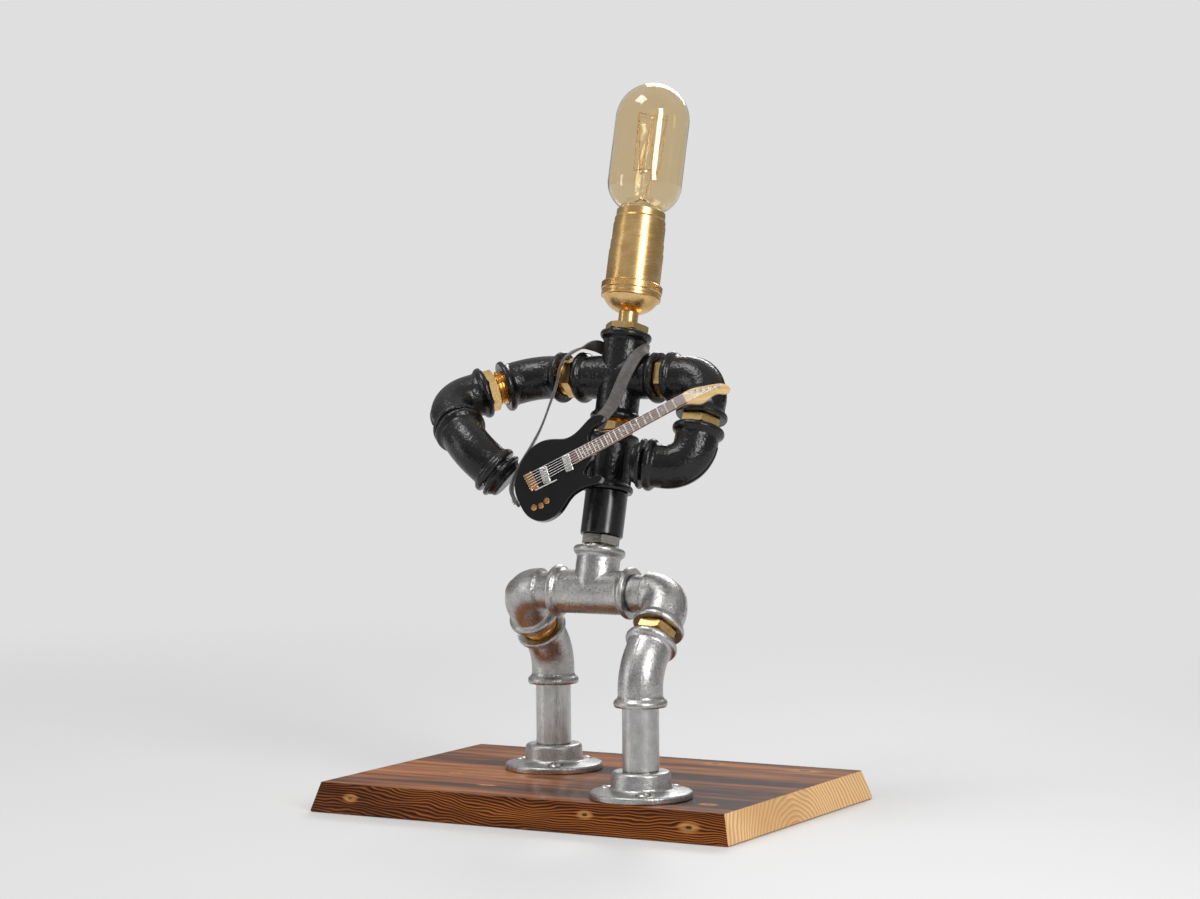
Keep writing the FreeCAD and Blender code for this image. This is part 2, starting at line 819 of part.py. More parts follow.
def screw_shell():
    top = rim_top - bulb_cap_below_rim - 1.5
    low = top - screw_shell_height
    tube = cylinder(screw_shell_radius - 0.02, low, top)
    return on_neck(tube.cut(cylinder(screw_shell_radius - screw_shell_wall, low - 1, top + 1)))


def centre_contact():
    """A sprung tongue and the rivet that holds it to the floor of the holder."""
    tongue = Part.makeBox(10, 5, 0.5, Vector(-5, -2.5, holder_floor + 2.6))
    rivet = cylinder(2.0, holder_floor, holder_floor + 2.8)
    return on_neck(joined(tongue, rivet))


def terminal_screws():
    screws = []
    for angle in (0, 180):
        point = polar(8.0, angle, insulator_base)
        screws.append(cylinder(2.2, -1.8, 0, Z, point))
    return on_neck(Part.makeCompound(screws))


# Bulb, with z from the lamp holder's rim

cap_top = -bulb_cap_below_rim + 0.4
cap_bottom = cap_top - bulb_cap_height


def on_rim(shape):
    return placed(shape, neck_face + torso_axis * rim_top, torso_axis, X)


def glass_outline(inset):
    """The bulb's outline from its neck to the middle of its domed end, drawn in by an inset."""
    r = bulb_radius - inset
    neck = bulb_neck_radius - inset
    dome = bulb_above_rim - bulb_radius
    return [
        (neck, cap_top), (neck + 0.4, cap_top + 2.0),
        ((neck + (r - neck) * 0.62, bulb_shoulder_height * 0.36), (r, bulb_shoulder_height)),
        (r, dome), ((r * math.sqrt(0.5), dome + r * math.sqrt(0.5)), (0, dome + r)),
    ]


def bulb_glass():
    outer = turned_solid(glass_outline(0) + [(0, cap_top)])
    inner = turned_solid(glass_outline(glass_wall) + [(0, cap_top)])
    return on_rim(outer.cut(inner))


def bulb_screw_cap():
    """The bulb's brass screw cap, its rings standing for the thread, with the foot contact below."""
    wall = 0.4
    turns = 4
    z = cap_top - 3.0
    crest = bulb_cap_radius
    root = bulb_cap_radius - 1.1
    points = [(bulb_cap_radius, cap_top), (bulb_cap_radius, z)]
    for i in range(turns):
        points += [(root, z - bulb_cap_pitch * 0.5), (crest, z - bulb_cap_pitch)]
        z -= bulb_cap_pitch
    points += [(crest - 0.6, z - 0.8), (5.2, cap_bottom + 1.2), (4.6, cap_bottom + 1.2)]
    points += [(4.6, cap_bottom), (0, cap_bottom)]
    points += [(0, cap_bottom + 2.0), (root - wall, z + 0.4), (root - wall, cap_top - 2.6),
               (bulb_neck_radius + bulb_fit, cap_top - 2.4), (bulb_neck_radius + bulb_fit, cap_top)]
    return on_rim(turned_solid(points))


def bulb_stem():
    """The glass foot inside the neck, its narrow press, and the rod with a button for each ring of hooks."""
    foot_radius = bulb_neck_radius - glass_wall - 0.3
    body = turned_solid([
        (0, cap_top + 0.4), (foot_radius, cap_top + 0.4), (stem_radius, cap_top + 2.0),
        ((stem_radius * 0.8, stem_height * 0.72), (press_radius, stem_height)),
        (press_radius, press_top - 1.4), (rod_radius, press_top), (rod_radius, cage_upper_height + 1.0),
        (0, cage_upper_height + 1.0),
    ])
    buttons = [Part.makeSphere(button_glass_radius, Vector(0, 0, z)) for z in (cage_lower_height + hook_rise,
                                                                              cage_upper_height)]
    return on_rim(joined(body, *buttons))


def rod_between(a, b, radius):
    return Part.makeCylinder(radius, (b - a).Length, a, b - a)


def bent_rod(points, radius):
    """Straight rods from point to point, with a slightly larger ball at each turn."""
    body = rod_between(points[0], points[1], radius)
    for a, b in zip(points[1:], points[2:]):
        body = body.fuse([Part.makeSphere(radius * 1.1, a), rod_between(a, b, radius)])
    return body


def cage_points():
    """The filament's turning points, in a zigzag between the two rings of hooks."""
    points = []
    for i in range(cage_strands):
        if i % 2 == 0:
            points.append(polar(cage_upper_radius, 360 / cage_strands * i, cage_upper_height))
        else:
            points.append(polar(cage_lower_radius, 360 / cage_strands * i, cage_lower_height))
    return points


def bulb_filament():
    """One unbroken strand that zigzags round the bulb's axis."""
    return on_rim(bent_rod(cage_points(), filament_radius))


def filament_supports():
    """The hooks that spread the filament, and the two feeds that rise to it from the stem's press."""
    wires = []
    gap = filament_radius + support_radius + support_fit
    for point in cage_points():
        radial = unit(Vector(point.x, point.y, 0))
        root = cage_upper_height if point.z > press_top * 3 else cage_lower_height + hook_rise
        start = radial * (button_glass_radius + support_fit) + Z * root
        wires.append(rod_between(start, point - radial * gap, support_radius))
    for angle in feed_angles:
        start = polar(press_radius + support_radius + support_fit, angle, press_top - 1.4)
        end = polar(cage_lower_radius - gap, angle, cage_lower_height - gap - 0.2)
        wires.append(rod_between(start, end, support_radius))
    return on_rim(Part.makeCompound(wires))


# Guitar



def before_chest(x, height, distance):
    return shoulders + X * x + torso_axis * height + torso_front * (body_radius + distance)


bridge_point = before_chest(*bridge_place)
nut_point = before_chest(*nut_place)
guitar_x = unit(nut_point - bridge_point)
guitar_face = square_to(turned(turned(Y * -1, X, -front_tilt), Z, front_swing), guitar_x)
guitar_y = guitar_face.cross(guitar_x)
scale_length = (nut_point - bridge_point).Length
fret_base = neck_above_body + fretboard_thickness


def on_guitar(shape):
    return placed(shape, bridge_point, guitar_face, guitar_x)


def guitar_point(x, y, z):
    return bridge_point + guitar_x * x + guitar_y * y + guitar_face * z


def closed_curve(points):
    curve = Part.BSplineCurve()
    curve.interpolate([Vector(x, y, 0) for x, y in points], PeriodicFlag=True)
    return Part.Wire(curve.toShape())


def guitar_body():
    """A slab with two horns, its outline a smooth closed curve, with a pocket for the neck."""
    tail = [(-12.0, -5.5), (-9.5, 3.5), (-2.5, 11.5), (5.0, 16.4), (13.0, 18.4), (21.0, 17.0)]
    bass_horn = [(29.8, 13.0), (37.5, 13.6), (46.5, 16.7), (52.6, 16.4), (55.0, 13.6), (52.0, 11.6),
                 (46.0, 10.8), (42.0, 8.0)]
    joint = [(40.6, 3.5), (39.2, -3.0)]
    treble_horn = [(34.0, -7.0), (30.0, -10.8), (32.0, -14.2), (36.4, -14.8), (38.4, -17.0), (35.8, -19.4),
                   (30.0, -18.6)]
    waist_and_bout = [(24.0, -17.8), (16.8, -18.8), (9.5, -22.8), (2.0, -25.0), (-5.0, -23.8), (-10.6, -18.0)]
    outline = closed_curve(tail + bass_horn + joint + treble_horn + waist_and_bout)
    body = Part.Face(outline).extrude(Z * -guitar_body_thickness)
    rims = [e for e in body.Edges if abs(e.BoundBox.ZMax - e.BoundBox.ZMin) < 0.01]
    body = body.makeFillet(guitar_body_round, rims)
    floor = neck_above_body - neck_thickness
    corner = Vector(neck_pocket_x, -neck_width_at_body / 2, floor)
    pocket = Part.makeBox(40, neck_width_at_body, -floor, corner)
    return on_guitar(body.cut(pocket))


def guitar_neck():
    """The neck with its headstock, flat on top and rounded beneath."""
    half_nut = neck_width_at_nut / 2
    half_body = neck_width_at_body / 2 - 0.05

    def section(x, half, depth):
        arc = Part.Arc(Vector(x, -half, 0), Vector(x, 0, -depth), Vector(x, half, 0)).toShape()
        side = Part.makeLine(Vector(x, half, 0), Vector(x, half, neck_above_body))
        flat = Part.makeLine(Vector(x, half, neck_above_body), Vector(x, -half, neck_above_body))
        other = Part.makeLine(Vector(x, -half, neck_above_body), Vector(x, -half, 0))
        return Part.Wire([arc, side, flat, other])

    depth = neck_thickness - neck_above_body
    shaft = Part.makeLoft([section(neck_joint_x, half_body, depth - 0.1),
                           section(scale_length + 1.5, half_nut, depth - 0.4)], True, True)
    tenon = Part.makeBox(neck_joint_x - neck_pocket_x + 0.1, 2 * half_body, neck_thickness - 0.05,
                         Vector(neck_pocket_x + 0.05, -half_body, 0.05 - depth))
    outline = [(0, -half_nut), (4.0, -4.6), (8.0, -6.8), (13.0, -6.4), (19.0, -6.0), (24.5, -8.4),
               (26.8, -6.8), (25.8, -3.6), (21.0, -0.6), (14.0, 1.6), (4.0, 3.7), (0, half_nut)]
    curve = Part.BSplineCurve()
    curve.interpolate([Vector(x, y, 0) for x, y in outline])
    end = Part.makeLine(Vector(0, half_nut, 0), Vector(0, -half_nut, 0))
    head = Part.Face(Part.Wire([curve.toShape(), end])).extrude(Z * -headstock_thickness)
    head = head.rotated(ORIGIN, Y, headstock_angle)
    head = head.translated(Vector(scale_length, 0, neck_above_body - headstock_drop))
    return on_guitar(joined(shaft, tenon, head))


def headstock_top(x, y):
    """The point of the headstock's tilted face over x and y."""
    drop = headstock_drop + (x - scale_length) * math.tan(math.radians(headstock_angle))
    return Vector(x, y, neck_above_body - drop)


def headstock_normal():
    return turned(Z, Y, headstock_angle)


def guitar_fretboard():
    half_nut = neck_width_at_nut / 2
    half_body = neck_width_at_body / 2
    z = neck_above_body
    corners = [Vector(neck_pocket_x, -half_body, z), Vector(scale_length, -half_nut, z),
               Vector(scale_length, half_nut, z), Vector(neck_pocket_x, half_body, z)]
    board = Part.Face(Part.makePolygon(corners + corners[:1])).extrude(Z * fretboard_thickness)
    nut_height = fretboard_thickness + nut_rise
    nut = Part.makeBox(nut_length, neck_width_at_nut, nut_height, Vector(scale_length, -half_nut, z))
    return on_guitar(joined(board, nut))


def fret_x(number):
    """A fret's distance from the bridge: twelve of them halve the string."""
    return scale_length / 2 ** (number / 12)


def guitar_frets():
    frets = []
    for number in range(1, fret_count + 1):
        x = fret_x(number)
        share = (x - neck_pocket_x) / (scale_length - neck_pocket_x)
        half = (neck_width_at_body * (1 - share) + neck_width_at_nut * share) / 2
        rod = Part.makeCylinder(fret_radius, 2 * half, Vector(x, -half, fret_base), Y)
        frets.append(rod.cut(Part.makeBox(4, 30, 4, Vector(x - 2, -15, fret_base - 4))))
    return on_guitar(Part.makeCompound(frets))


def guitar_pickups():
    covers = []
    for x in (9.4, 24.4):
        corner = Vector(-pickup_width / 2, -pickup_length / 2, 0)
        cover = Part.makeBox(pickup_width, pickup_length, pickup_height, corner)
        cover = cover.makeFillet(0.6, [e for e in cover.Edges if e.BoundBox.ZMin > pickup_height - 0.1])
        covers.append(cover.rotated(ORIGIN, Z, -pickup_slant).translated(Vector(x - 0.2, -1.0, 0)))
    return on_guitar(Part.makeCompound(covers))


def string_y(number, spacing):
    return spacing * (number - (string_count - 1) / 2)


def guitar_bridge():
    plate = Part.makeBox(5.2, 10.6, 1.0, Vector(-2.4, -5.6, 0))
    saddle_top = string_height - string_radius
    saddles = []
    for number in range(string_count):
        corner = Vector(-2.0, string_y(number, string_spacing) - 0.65, 0.9)
        saddles.append(Part.makeBox(4.0, 1.3, saddle_top - 0.9, corner))
    return on_guitar(joined(plate, *saddles))


def guitar_vibrato_arm():
    """The thin arm that stands off the bridge along the treble side."""
    points = [Vector(0.6, -6.3, 0), Vector(0.6, -6.3, 1.8), Vector(14.4, -7.0, 2.4)]
    return on_guitar(bent_rod(points, 0.42))


def guitar_knobs():
    knobs = []
    for x, y in ((-5.0, -15.0), (-0.8, -15.9), (3.4, -15.0)):
        knob = turned_solid([(0, 0), (1.6, 0), (1.4, 1.8), (1.1, 2.2), (0, 2.2)])
        knobs.append(placed(knob, Vector(x, y, 0), Z, X))
    return on_guitar(Part.makeCompound(knobs))


def tuner_point(number):
    """A tuner's foot, a little to the treble side of its own string."""
    y = string_y(string_count - 1 - number, nut_string_spacing) - tuner_offset
    return headstock_top(scale_length + 5.5 + 3.3 * number, y)


def guitar_tuners():
    tuners = []
    for number in range(string_count):
        post = turned_solid([(0, 0), (1.1, 0), (1.1, 0.6), (tuner_post_radius, 0.7), (tuner_post_radius, 2.2),
                             (0, 2.2)])
        tuners.append(placed(post, tuner_point(number), headstock_normal(), X))
    return on_guitar(Part.makeCompound(tuners))


def guitar_strings():
    """Each string runs from its saddle over the nut and down to the foot of its tuning post."""
    strings = []
    for number in range(string_count):
        bridge_end = Vector(-1.0, string_y(number, string_spacing), string_height)
        nut_y = string_y(number, nut_string_spacing)
        nut_z = fret_base + nut_rise + string_radius * 1.1 + string_fit
        over_nut = Vector(scale_length + nut_length, nut_y, nut_z)
        post = tuner_point(string_count - 1 - number)
        toward = unit(Vector(over_nut.x - post.x, over_nut.y - post.y, 0))
        post_end = post + toward * (tuner_post_radius + 3 * string_fit) + Z * 1.2
        strings.append(bent_rod([bridge_end, over_nut, post_end], string_radius))
    return on_guitar(Part.makeCompound(strings))


# Strap, from the guitar's tail over the right shoulder, behind the neck and down to the bass horn

tail_button = guitar_point(-12.4, -5.0, -guitar_body_thickness / 2)
horn_button = guitar_point(50.6, 14.2, -guitar_body_thickness)
strap_lift = strap_thickness / 2 + 0.1
neck_wrap_radius = body_radius + strap_clearance + strap_thickness / 2


def round_neck(degrees):
    """A point on the strap's way round the back of the neck, turning from the back to the figure's right."""
    centre = shoulders + torso_axis * strap_neck_distance
    back = square_to(Y, torso_axis)
    return centre + turned(back, torso_axis, degrees) * neck_wrap_radius


def over_shoulder(x, degrees, lift):
    """A point of the strap over the shoulder fittings' beads, turning from straight up to the front."""
    return shoulders + X * x + turned(Z, X, degrees) * (bead_radius + strap_thickness / 2 + lift)


def strap_stations():
    """The middle of the strap and the direction of its upper or nearer edge, station by station."""
    end = -guitar_body_thickness / 2
    behind = -guitar_body_thickness - strap_lift
    tail = -12.4 - strap_lift - 0.6
    horn_way = guitar_y * 0.74 - guitar_x * 0.67
    stations = [
        (guitar_point(tail, -9.0, end), guitar_face),
        (guitar_point(tail, 1.0, end), guitar_face),
        (shoulders + Vector(-33.8, -63.9, -52.7), Vector(0.40, -0.88, 0.25)),
        (shoulders + Vector(-33.4, -49.4, -39.7), Vector(0.52, -0.78, 0.35)),
        (shoulders + Vector(-33.8, -37.4, -29.1), Vector(0.56, -0.68, 0.46)),
        (shoulders + Vector(-34.9, -25.4, -16.1), Vector(0.55, -0.66, 0.52)),
        (over_shoulder(-34.6, 99.8, 0.95), Vector(0.46, -0.78, 0.42)),
        (over_shoulder(-33.2, 68.4, 0.46), Vector(0.45, -0.86, 0.20)),
        (over_shoulder(-31.4, 37.8, 0.22), Vector(0.42, -0.88, -0.20)),
        (over_shoulder(-25.4, 10.3, 1.89), Vector(0.15, -0.96, -0.10)),
        (over_shoulder(-18.2, -6.6, 2.93), Vector(0.02, -0.45, 0.89)),
    ]
    for degrees in (75, 50, 25, 0, -25, -50, -75):
        stations.append((round_neck(degrees), torso_axis))
    stations += [
        (over_shoulder(16.6, 0.7, 0.4), Vector(-0.75, 0.10, 0.66)),
        (over_shoulder(16.2, 34.9, 0.35), Vector(-0.92, -0.25, 0.30)),
        (over_shoulder(13.4, 76.8, 0.95), Vector(-0.86, -0.48, 0.14)),
        (shoulders + Vector(16.4, -42.0, -16.3), Vector(-0.86, -0.48, 0.18)),
        (guitar_point(53.4, 15.8, behind), horn_way),
        (guitar_point(47.6, 11.0, behind), horn_way),
    ]
    return stations


def ruled_solid(sections):
    """The solid between rings of corners, with a ruled side from each edge of a ring to the next ring's."""
    faces = [Part.Face(Part.makePolygon(ring + ring[:1])) for ring in (sections[0], sections[-1])]
    for before, after in zip(sections, sections[1:]):
        for i in range(len(before)):
            j = (i + 1) % len(before)
            edge = Part.LineSegment(before[i], before[j]).toShape()
            next_edge = Part.LineSegment(after[i], after[j]).toShape()
            faces.append(Part.makeRuledSurface(edge, next_edge))
    skin = Part.Compound(faces)
    skin.sewShape()
    solid = Part.Solid(skin.Shells[0])
    if solid.Volume < 0:
        solid.reverse()
    return solid


def strap():
    stations = strap_stations()
    sections = []
    for number, (centre, edge) in enumerate(stations):
        before = stations[max(number - 1, 0)][0]
        after = stations[min(number + 1, len(stations) - 1)][0]
        along = unit(after - before)
        across = square_to(edge, along) * (strap_width / 2)
        out = along.cross(unit(across)) * (strap_thickness / 2)
        upper = centre + across
        lower = centre - across
        sections.append([upper + out, lower + out, lower - out, upper - out])
    band = ruled_solid(sections)
    hole = button_radius + button_fit
    band = band.cut(cylinder(hole, -1, 6, guitar_x * -1, tail_button))
    return band.cut(cylinder(hole, -1, 6, guitar_face * -1, horn_button))


def strap_buttons():
    """Two headed pins that hold the strap's ends to the guitar."""
    seat = strap_thickness + 1.4
    pin = turned_solid([(0, 0), (button_radius, 0), (button_radius, seat), (button_head_radius, seat + 0.2),
                        (button_head_radius, seat + 0.8), (button_radius, seat + 1.3), (0, seat + 1.3)])
    return Part.makeCompound([placed(pin, tail_button, guitar_x * -1, guitar_face),
                              placed(pin, horn_button, guitar_face * -1, guitar_x)])


# Mains lead, from the lamp holder down the upper body, the right hip and the right leg to the grommet


def lead_along(points, radii):
    """A round lead through corner points, each corner between two straight runs rounded by its own radius."""
    edges = []
    here = points[0]
    for before, corner, after, radius in zip(points, points[1:], points[2:], radii):
        inward = unit(before - corner)
        onward = unit(after - corner)
        half = inward.getAngle(onward) / 2
        tangent = radius / math.tan(half)
        start = corner + inward * tangent
        end = corner + onward * tangent
        middle = corner + unit(inward + onward) * (radius / math.sin(half) - radius)
        edges.append(Part.LineSegment(here, start).toShape())
        edges.append(Part.Arc(start, middle, end).toShape())
        here = end
    edges.append(Part.LineSegment(here, points[-1]).toShape())
    section = Part.Wire(Part.makeCircle(lead_radius, points[0], unit(points[1] - points[0])))
    return Part.Wire(edges).makePipeShell([section], True, True)


def leg_lead():
    hip, knee, foot = leg_frame(-1)[:3]
    low = Vector(foot.x, foot.y, lead_groove_height / 2)
    end = board_width / 2 - lead_end_inset
    points = [hip_centre - hip_axis * tee_reach, hip, knee, low, Vector(foot.x, end, low.z)]
    return lead_along(points, [bend_radius, half_bend_radius, lead_bend])


def hip_lead():
    top = hip_centre + torso_axis * sleeve_base
    return lead_along([top, hip_centre, hip_centre - hip_axis * tee_reach], [lead_bend])


def torso_lead():
    top = cross_distance + cross_reach - thread_engaged - 1.0
    return on_torso(cylinder(lead_radius, sleeve_base, top), 0)


def head_lead():
    return on_neck(cylinder(lead_radius, -thread_engaged - 1.0, insulator_base + 1.0))


makers = {
    "base_board": base_board,
    "left_foot_flange": lambda: foot_flange(1),
    "right_foot_flange": lambda: foot_flange(-1),
    "flange_screws": flange_screws,
    "cable_grommet": cable_grommet,
    "left_shin_pipe": lambda: shin_pipe(1),
    "right_shin_pipe": lambda: shin_pipe(-1),
    "left_knee_elbow": lambda: knee_elbow(1),
    "right_knee_elbow": lambda: knee_elbow(-1),
    "left_thigh_nipple": lambda: thigh_nipple(1),
    "right_thigh_nipple": lambda: thigh_nipple(-1),
    "left_hip_elbow": lambda: hip_elbow(1),
    "right_hip_elbow": lambda: hip_elbow(-1),
    "hip_tee": hip_tee,
    "waist_nipple": waist_nipple,
    "torso_sleeve": torso_sleeve,
    "chest_socket": chest_socket,
    "chest_nipple": chest_nipple,
    "shoulder_cross": shoulder_cross,
    "neck_bushing": neck_bushing,
    "left_shoulder_nipple": left_shoulder_nipple,
    "left_upper_elbow": left_upper_elbow,
    "left_arm_nipple": left_arm_nipple,
    "left_forearm_elbow": left_forearm_elbow,
    "left_hand_plug": left_hand_plug,
    "right_shoulder_nipple": right_shoulder_nipple,
    "right_shoulder_elbow": right_shoulder_elbow,
    "right_arm_nipple": right_arm_nipple,
    "right_upper_elbow": right_upper_elbow,
    "right_wrist_nipple": right_wrist_nipple,
    "right_forearm_elbow": right_forearm_elbow,
    "right_hand_plug": right_hand_plug,
    "lamp_neck_tube": lamp_neck_tube,
    "socket_cap": socket_cap,
    "socket_shell": socket_shell,
    "socket_insulator": socket_insulator,
    "screw_shell": screw_shell,
    "centre_contact": centre_contact,
    "terminal_screws": terminal_screws,
    "bulb_glass": bulb_glass,
    "bulb_screw_cap": bulb_screw_cap,
    "bulb_stem": bulb_stem,
    "bulb_filament": bulb_filament,
    "filament_supports": filament_supports,
    "guitar_body": guitar_body,
    "guitar_neck": guitar_neck,
    "guitar_fretboard": guitar_fretboard,
    "guitar_frets": guitar_frets,
    "guitar_pickups": guitar_pickups,
    "guitar_bridge": guitar_bridge,
    "guitar_knobs": guitar_knobs,
    "guitar_vibrato_arm": guitar_vibrato_arm,
    "guitar_tuners": guitar_tuners,
    "guitar_strings": guitar_strings,
    "strap": strap,
    "strap_buttons": strap_buttons,
    "leg_lead": leg_lead,
    "hip_lead": hip_lead,
    "torso_lead": torso_lead,
    "head_lead": head_lead,
}

os.makedirs("parts", exist_ok=True)
for name, make in makers.items():
    shape = make()
    if not shape.isValid():
        print("not valid:", name)
    shape.exportStep("parts/" + name + ".step")
    print(name, len(shape.Solids), round(shape.Volume))
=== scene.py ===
"""Looks of a table lamp built from threaded pipe fittings as a guitar player on a wooden board.

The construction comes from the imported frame. This file gives every surface its finish and models the
strap and the small trim that the frame's plain solids leave out. Places are in millimetres where a
name ends in _mm and in metres elsewhere, in the frame's own axes: +X along the board's long side to
the figure's left hand, +Y to the figure's back, +Z up, origin at the centre of the board's underside.
"""
import json
import math

import bmesh
import bpy
from mathutils import Matrix, Vector


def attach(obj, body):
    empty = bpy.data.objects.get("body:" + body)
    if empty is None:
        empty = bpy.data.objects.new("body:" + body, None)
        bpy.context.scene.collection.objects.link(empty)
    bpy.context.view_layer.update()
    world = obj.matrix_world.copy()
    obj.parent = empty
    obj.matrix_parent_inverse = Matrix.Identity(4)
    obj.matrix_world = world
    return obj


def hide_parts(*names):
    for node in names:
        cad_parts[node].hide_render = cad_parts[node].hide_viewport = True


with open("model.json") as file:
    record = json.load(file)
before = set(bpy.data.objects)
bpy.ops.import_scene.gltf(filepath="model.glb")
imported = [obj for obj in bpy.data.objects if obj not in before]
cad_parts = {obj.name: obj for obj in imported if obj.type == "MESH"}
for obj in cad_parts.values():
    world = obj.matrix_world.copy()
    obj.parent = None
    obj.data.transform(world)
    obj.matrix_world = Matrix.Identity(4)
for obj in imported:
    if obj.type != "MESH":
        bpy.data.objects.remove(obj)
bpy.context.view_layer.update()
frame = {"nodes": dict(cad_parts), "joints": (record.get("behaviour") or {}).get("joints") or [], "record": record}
scene = bpy.context.scene

MM = 0.001
X = Vector((1, 0, 0))
Y = Vector((0, 1, 0))
Z = Vector((0, 0, 1))

# Camera, fitted to the photograph
LENS_PX = 3086.0
IMAGE_WIDTH_PX = 1200.0
SENSOR_MM = 36.0
CAMERA_PLACE_MM = (911.2, -1600.2, 291.7)
CAMERA_AZIMUTH = 29.476
CAMERA_PITCH = -2.433
CAMERA_ROLL = -0.529


def camera_axes():
    """The camera's right, up and forward directions in the frame."""
    a = math.radians(CAMERA_AZIMUTH)
    t = math.radians(CAMERA_PITCH)
    r = math.radians(CAMERA_ROLL)
    forward = Vector((-math.sin(a) * math.cos(t), math.cos(a) * math.cos(t), math.sin(t)))
    level = Vector((math.cos(a), math.sin(a), 0))
    above = level.cross(forward)
    right = level * math.cos(r) + above * math.sin(r)
    return right, right.cross(forward), forward


def make_camera():
    right, up, forward = camera_axes()
    data = bpy.data.cameras.new("camera")
    data.sensor_width = SENSOR_MM
    data.lens = LENS_PX / IMAGE_WIDTH_PX * SENSOR_MM
    data.clip_start = 0.05
    data.clip_end = 60.0
    camera = bpy.data.objects.new("camera", data)
    scene.collection.objects.link(camera)
    columns = Matrix((right, up, -forward)).transposed().to_4x4()
    camera.matrix_world = Matrix.Translation(Vector(CAMERA_PLACE_MM) * MM) @ columns
    scene.camera = camera


# Shader building blocks


class Paint:
    """A material under construction, with short calls for the nodes that the finishes share."""

    def __init__(self, name):
        self.material = bpy.data.materials.new(name)
        self.material.use_nodes = True
        self.tree = self.material.node_tree
        self.shader = self.tree.nodes["Principled BSDF"]
        self.place = self.node("ShaderNodeTexCoord").outputs["Object"]

    def node(self, kind, **settings):
        made = self.tree.nodes.new(kind)
        for key, value in settings.items():
            setattr(made, key, value)
        return made

    def feed(self, socket, value):
        """Sets a socket to a number, a colour or another socket."""
        if isinstance(value, bpy.types.NodeSocket):
            self.tree.links.new(value, socket)
        elif isinstance(value, (tuple, list)) and len(socket.default_value) == 4 and len(value) == 3:
            socket.default_value = (*value, 1.0)
        else:
            socket.default_value = value

    def set(self, **values):
        """Sets the shader's own sockets, such as base_color or coat_roughness."""
        for key, value in values.items():
            self.feed(self.shader.inputs[SOCKETS[key]], value)
        return self

    def math(self, operation, a, b=0.0, clamp=False):
        made = self.node("ShaderNodeMath", operation=operation, use_clamp=clamp)
        self.feed(made.inputs[0], a)
        self.feed(made.inputs[1], b)
        return made.outputs[0]

    def vector(self, operation, a, b=(0.0, 0.0, 0.0)):
        made = self.node("ShaderNodeVectorMath", operation=operation)
        self.feed(made.inputs[0], a)
        self.feed(made.inputs[1], b)
        return made.outputs["Value" if operation in ("LENGTH", "DOT_PRODUCT", "DISTANCE") else "Vector"]

    def split(self, vector):
        made = self.node("ShaderNodeSeparateXYZ")
        self.feed(made.inputs[0], vector)
        return made.outputs

    def join(self, x, y, z):
        made = self.node("ShaderNodeCombineXYZ")
        for socket, value in zip(made.inputs, (x, y, z)):
            self.feed(socket, value)
        return made.outputs[0]

    def stretched(self, stretch, turn=(0.0, 0.0, 0.0)):
        """The place on the object, turned by degrees and then scaled along each axis."""
        made = self.node("ShaderNodeMapping", vector_type="POINT")
        self.feed(made.inputs["Vector"], self.place)
        made.inputs["Rotation"].default_value = [math.radians(t) for t in turn]
        made.inputs["Scale"].default_value = stretch
        return made.outputs[0]

    def noise(self, size_mm, detail=2.0, roughness=0.5, place=None):
        """Cloudy noise, whose lumps are about size_mm across."""
        made = self.node("ShaderNodeTexNoise")
        self.feed(made.inputs["Vector"], self.place if place is None else place)
        made.inputs["Scale"].default_value = 1.0 / (size_mm * MM)
        made.inputs["Detail"].default_value = detail
        made.inputs["Roughness"].default_value = roughness
        return made.outputs["Fac"]

    def cells(self, size_mm, smoothness):
        """Rounded pebbles, about size_mm across, lowest at their middles."""
        made = self.node("ShaderNodeTexVoronoi", feature="SMOOTH_F1")
        self.feed(made.inputs["Vector"], self.place)
        made.inputs["Scale"].default_value = 1.0 / (size_mm * MM)
        made.inputs["Smoothness"].default_value = smoothness
        return made.outputs["Distance"]

    def ramp(self, value, stops):
        """A grey or colour for each value, from stops that give the value and what it becomes."""
        made = self.node("ShaderNodeValToRGB")
        self.feed(made.inputs[0], value)
        band = made.color_ramp
        while len(band.elements) < len(stops):
            band.elements.new(0.5)
        for element, (at, colour) in zip(band.elements, stops):
            element.position = at
            grey = isinstance(colour, (int, float))
            element.color = (colour, colour, colour, 1) if grey else (*colour, 1)
        return made.outputs["Color"]

    def between(self, value, low, high):
        """Spreads a value of about 0.3 to 0.7, as noise gives, over low to high."""
        made = self.node("ShaderNodeMapRange")
        self.feed(made.inputs["Value"], value)
        made.inputs["From Min"].default_value = 0.3
        made.inputs["From Max"].default_value = 0.7
        made.inputs["To Min"].default_value = low
        made.inputs["To Max"].default_value = high
        return made.outputs[0]

    def mix(self, share, a, b, blend="MIX"):
        made = self.node("ShaderNodeMix", data_type="RGBA", blend_type=blend)
        self.feed(made.inputs["Factor"], share)
        self.feed(made.inputs[6], a)
        self.feed(made.inputs[7], b)
        return made.outputs[2]

    def blend(self, share, a, b):
        """The same as mix, for plain numbers."""
        made = self.node("ShaderNodeMix", data_type="FLOAT")
        for socket, value in zip((made.inputs[0], made.inputs[2], made.inputs[3]), (share, a, b)):
            self.feed(socket, value)
        return made.outputs[0]

    def bump(self, height, depth_mm, normal=None, strength=1.0):
        """A normal from a height of 0 to 1 that stands for depth_mm."""
        made = self.node("ShaderNodeBump")
        self.feed(made.inputs["Height"], height)
        made.inputs["Distance"].default_value = depth_mm * MM
        made.inputs["Strength"].default_value = strength
        if normal is not None:
            self.feed(made.inputs["Normal"], normal)
        return made.outputs[0]


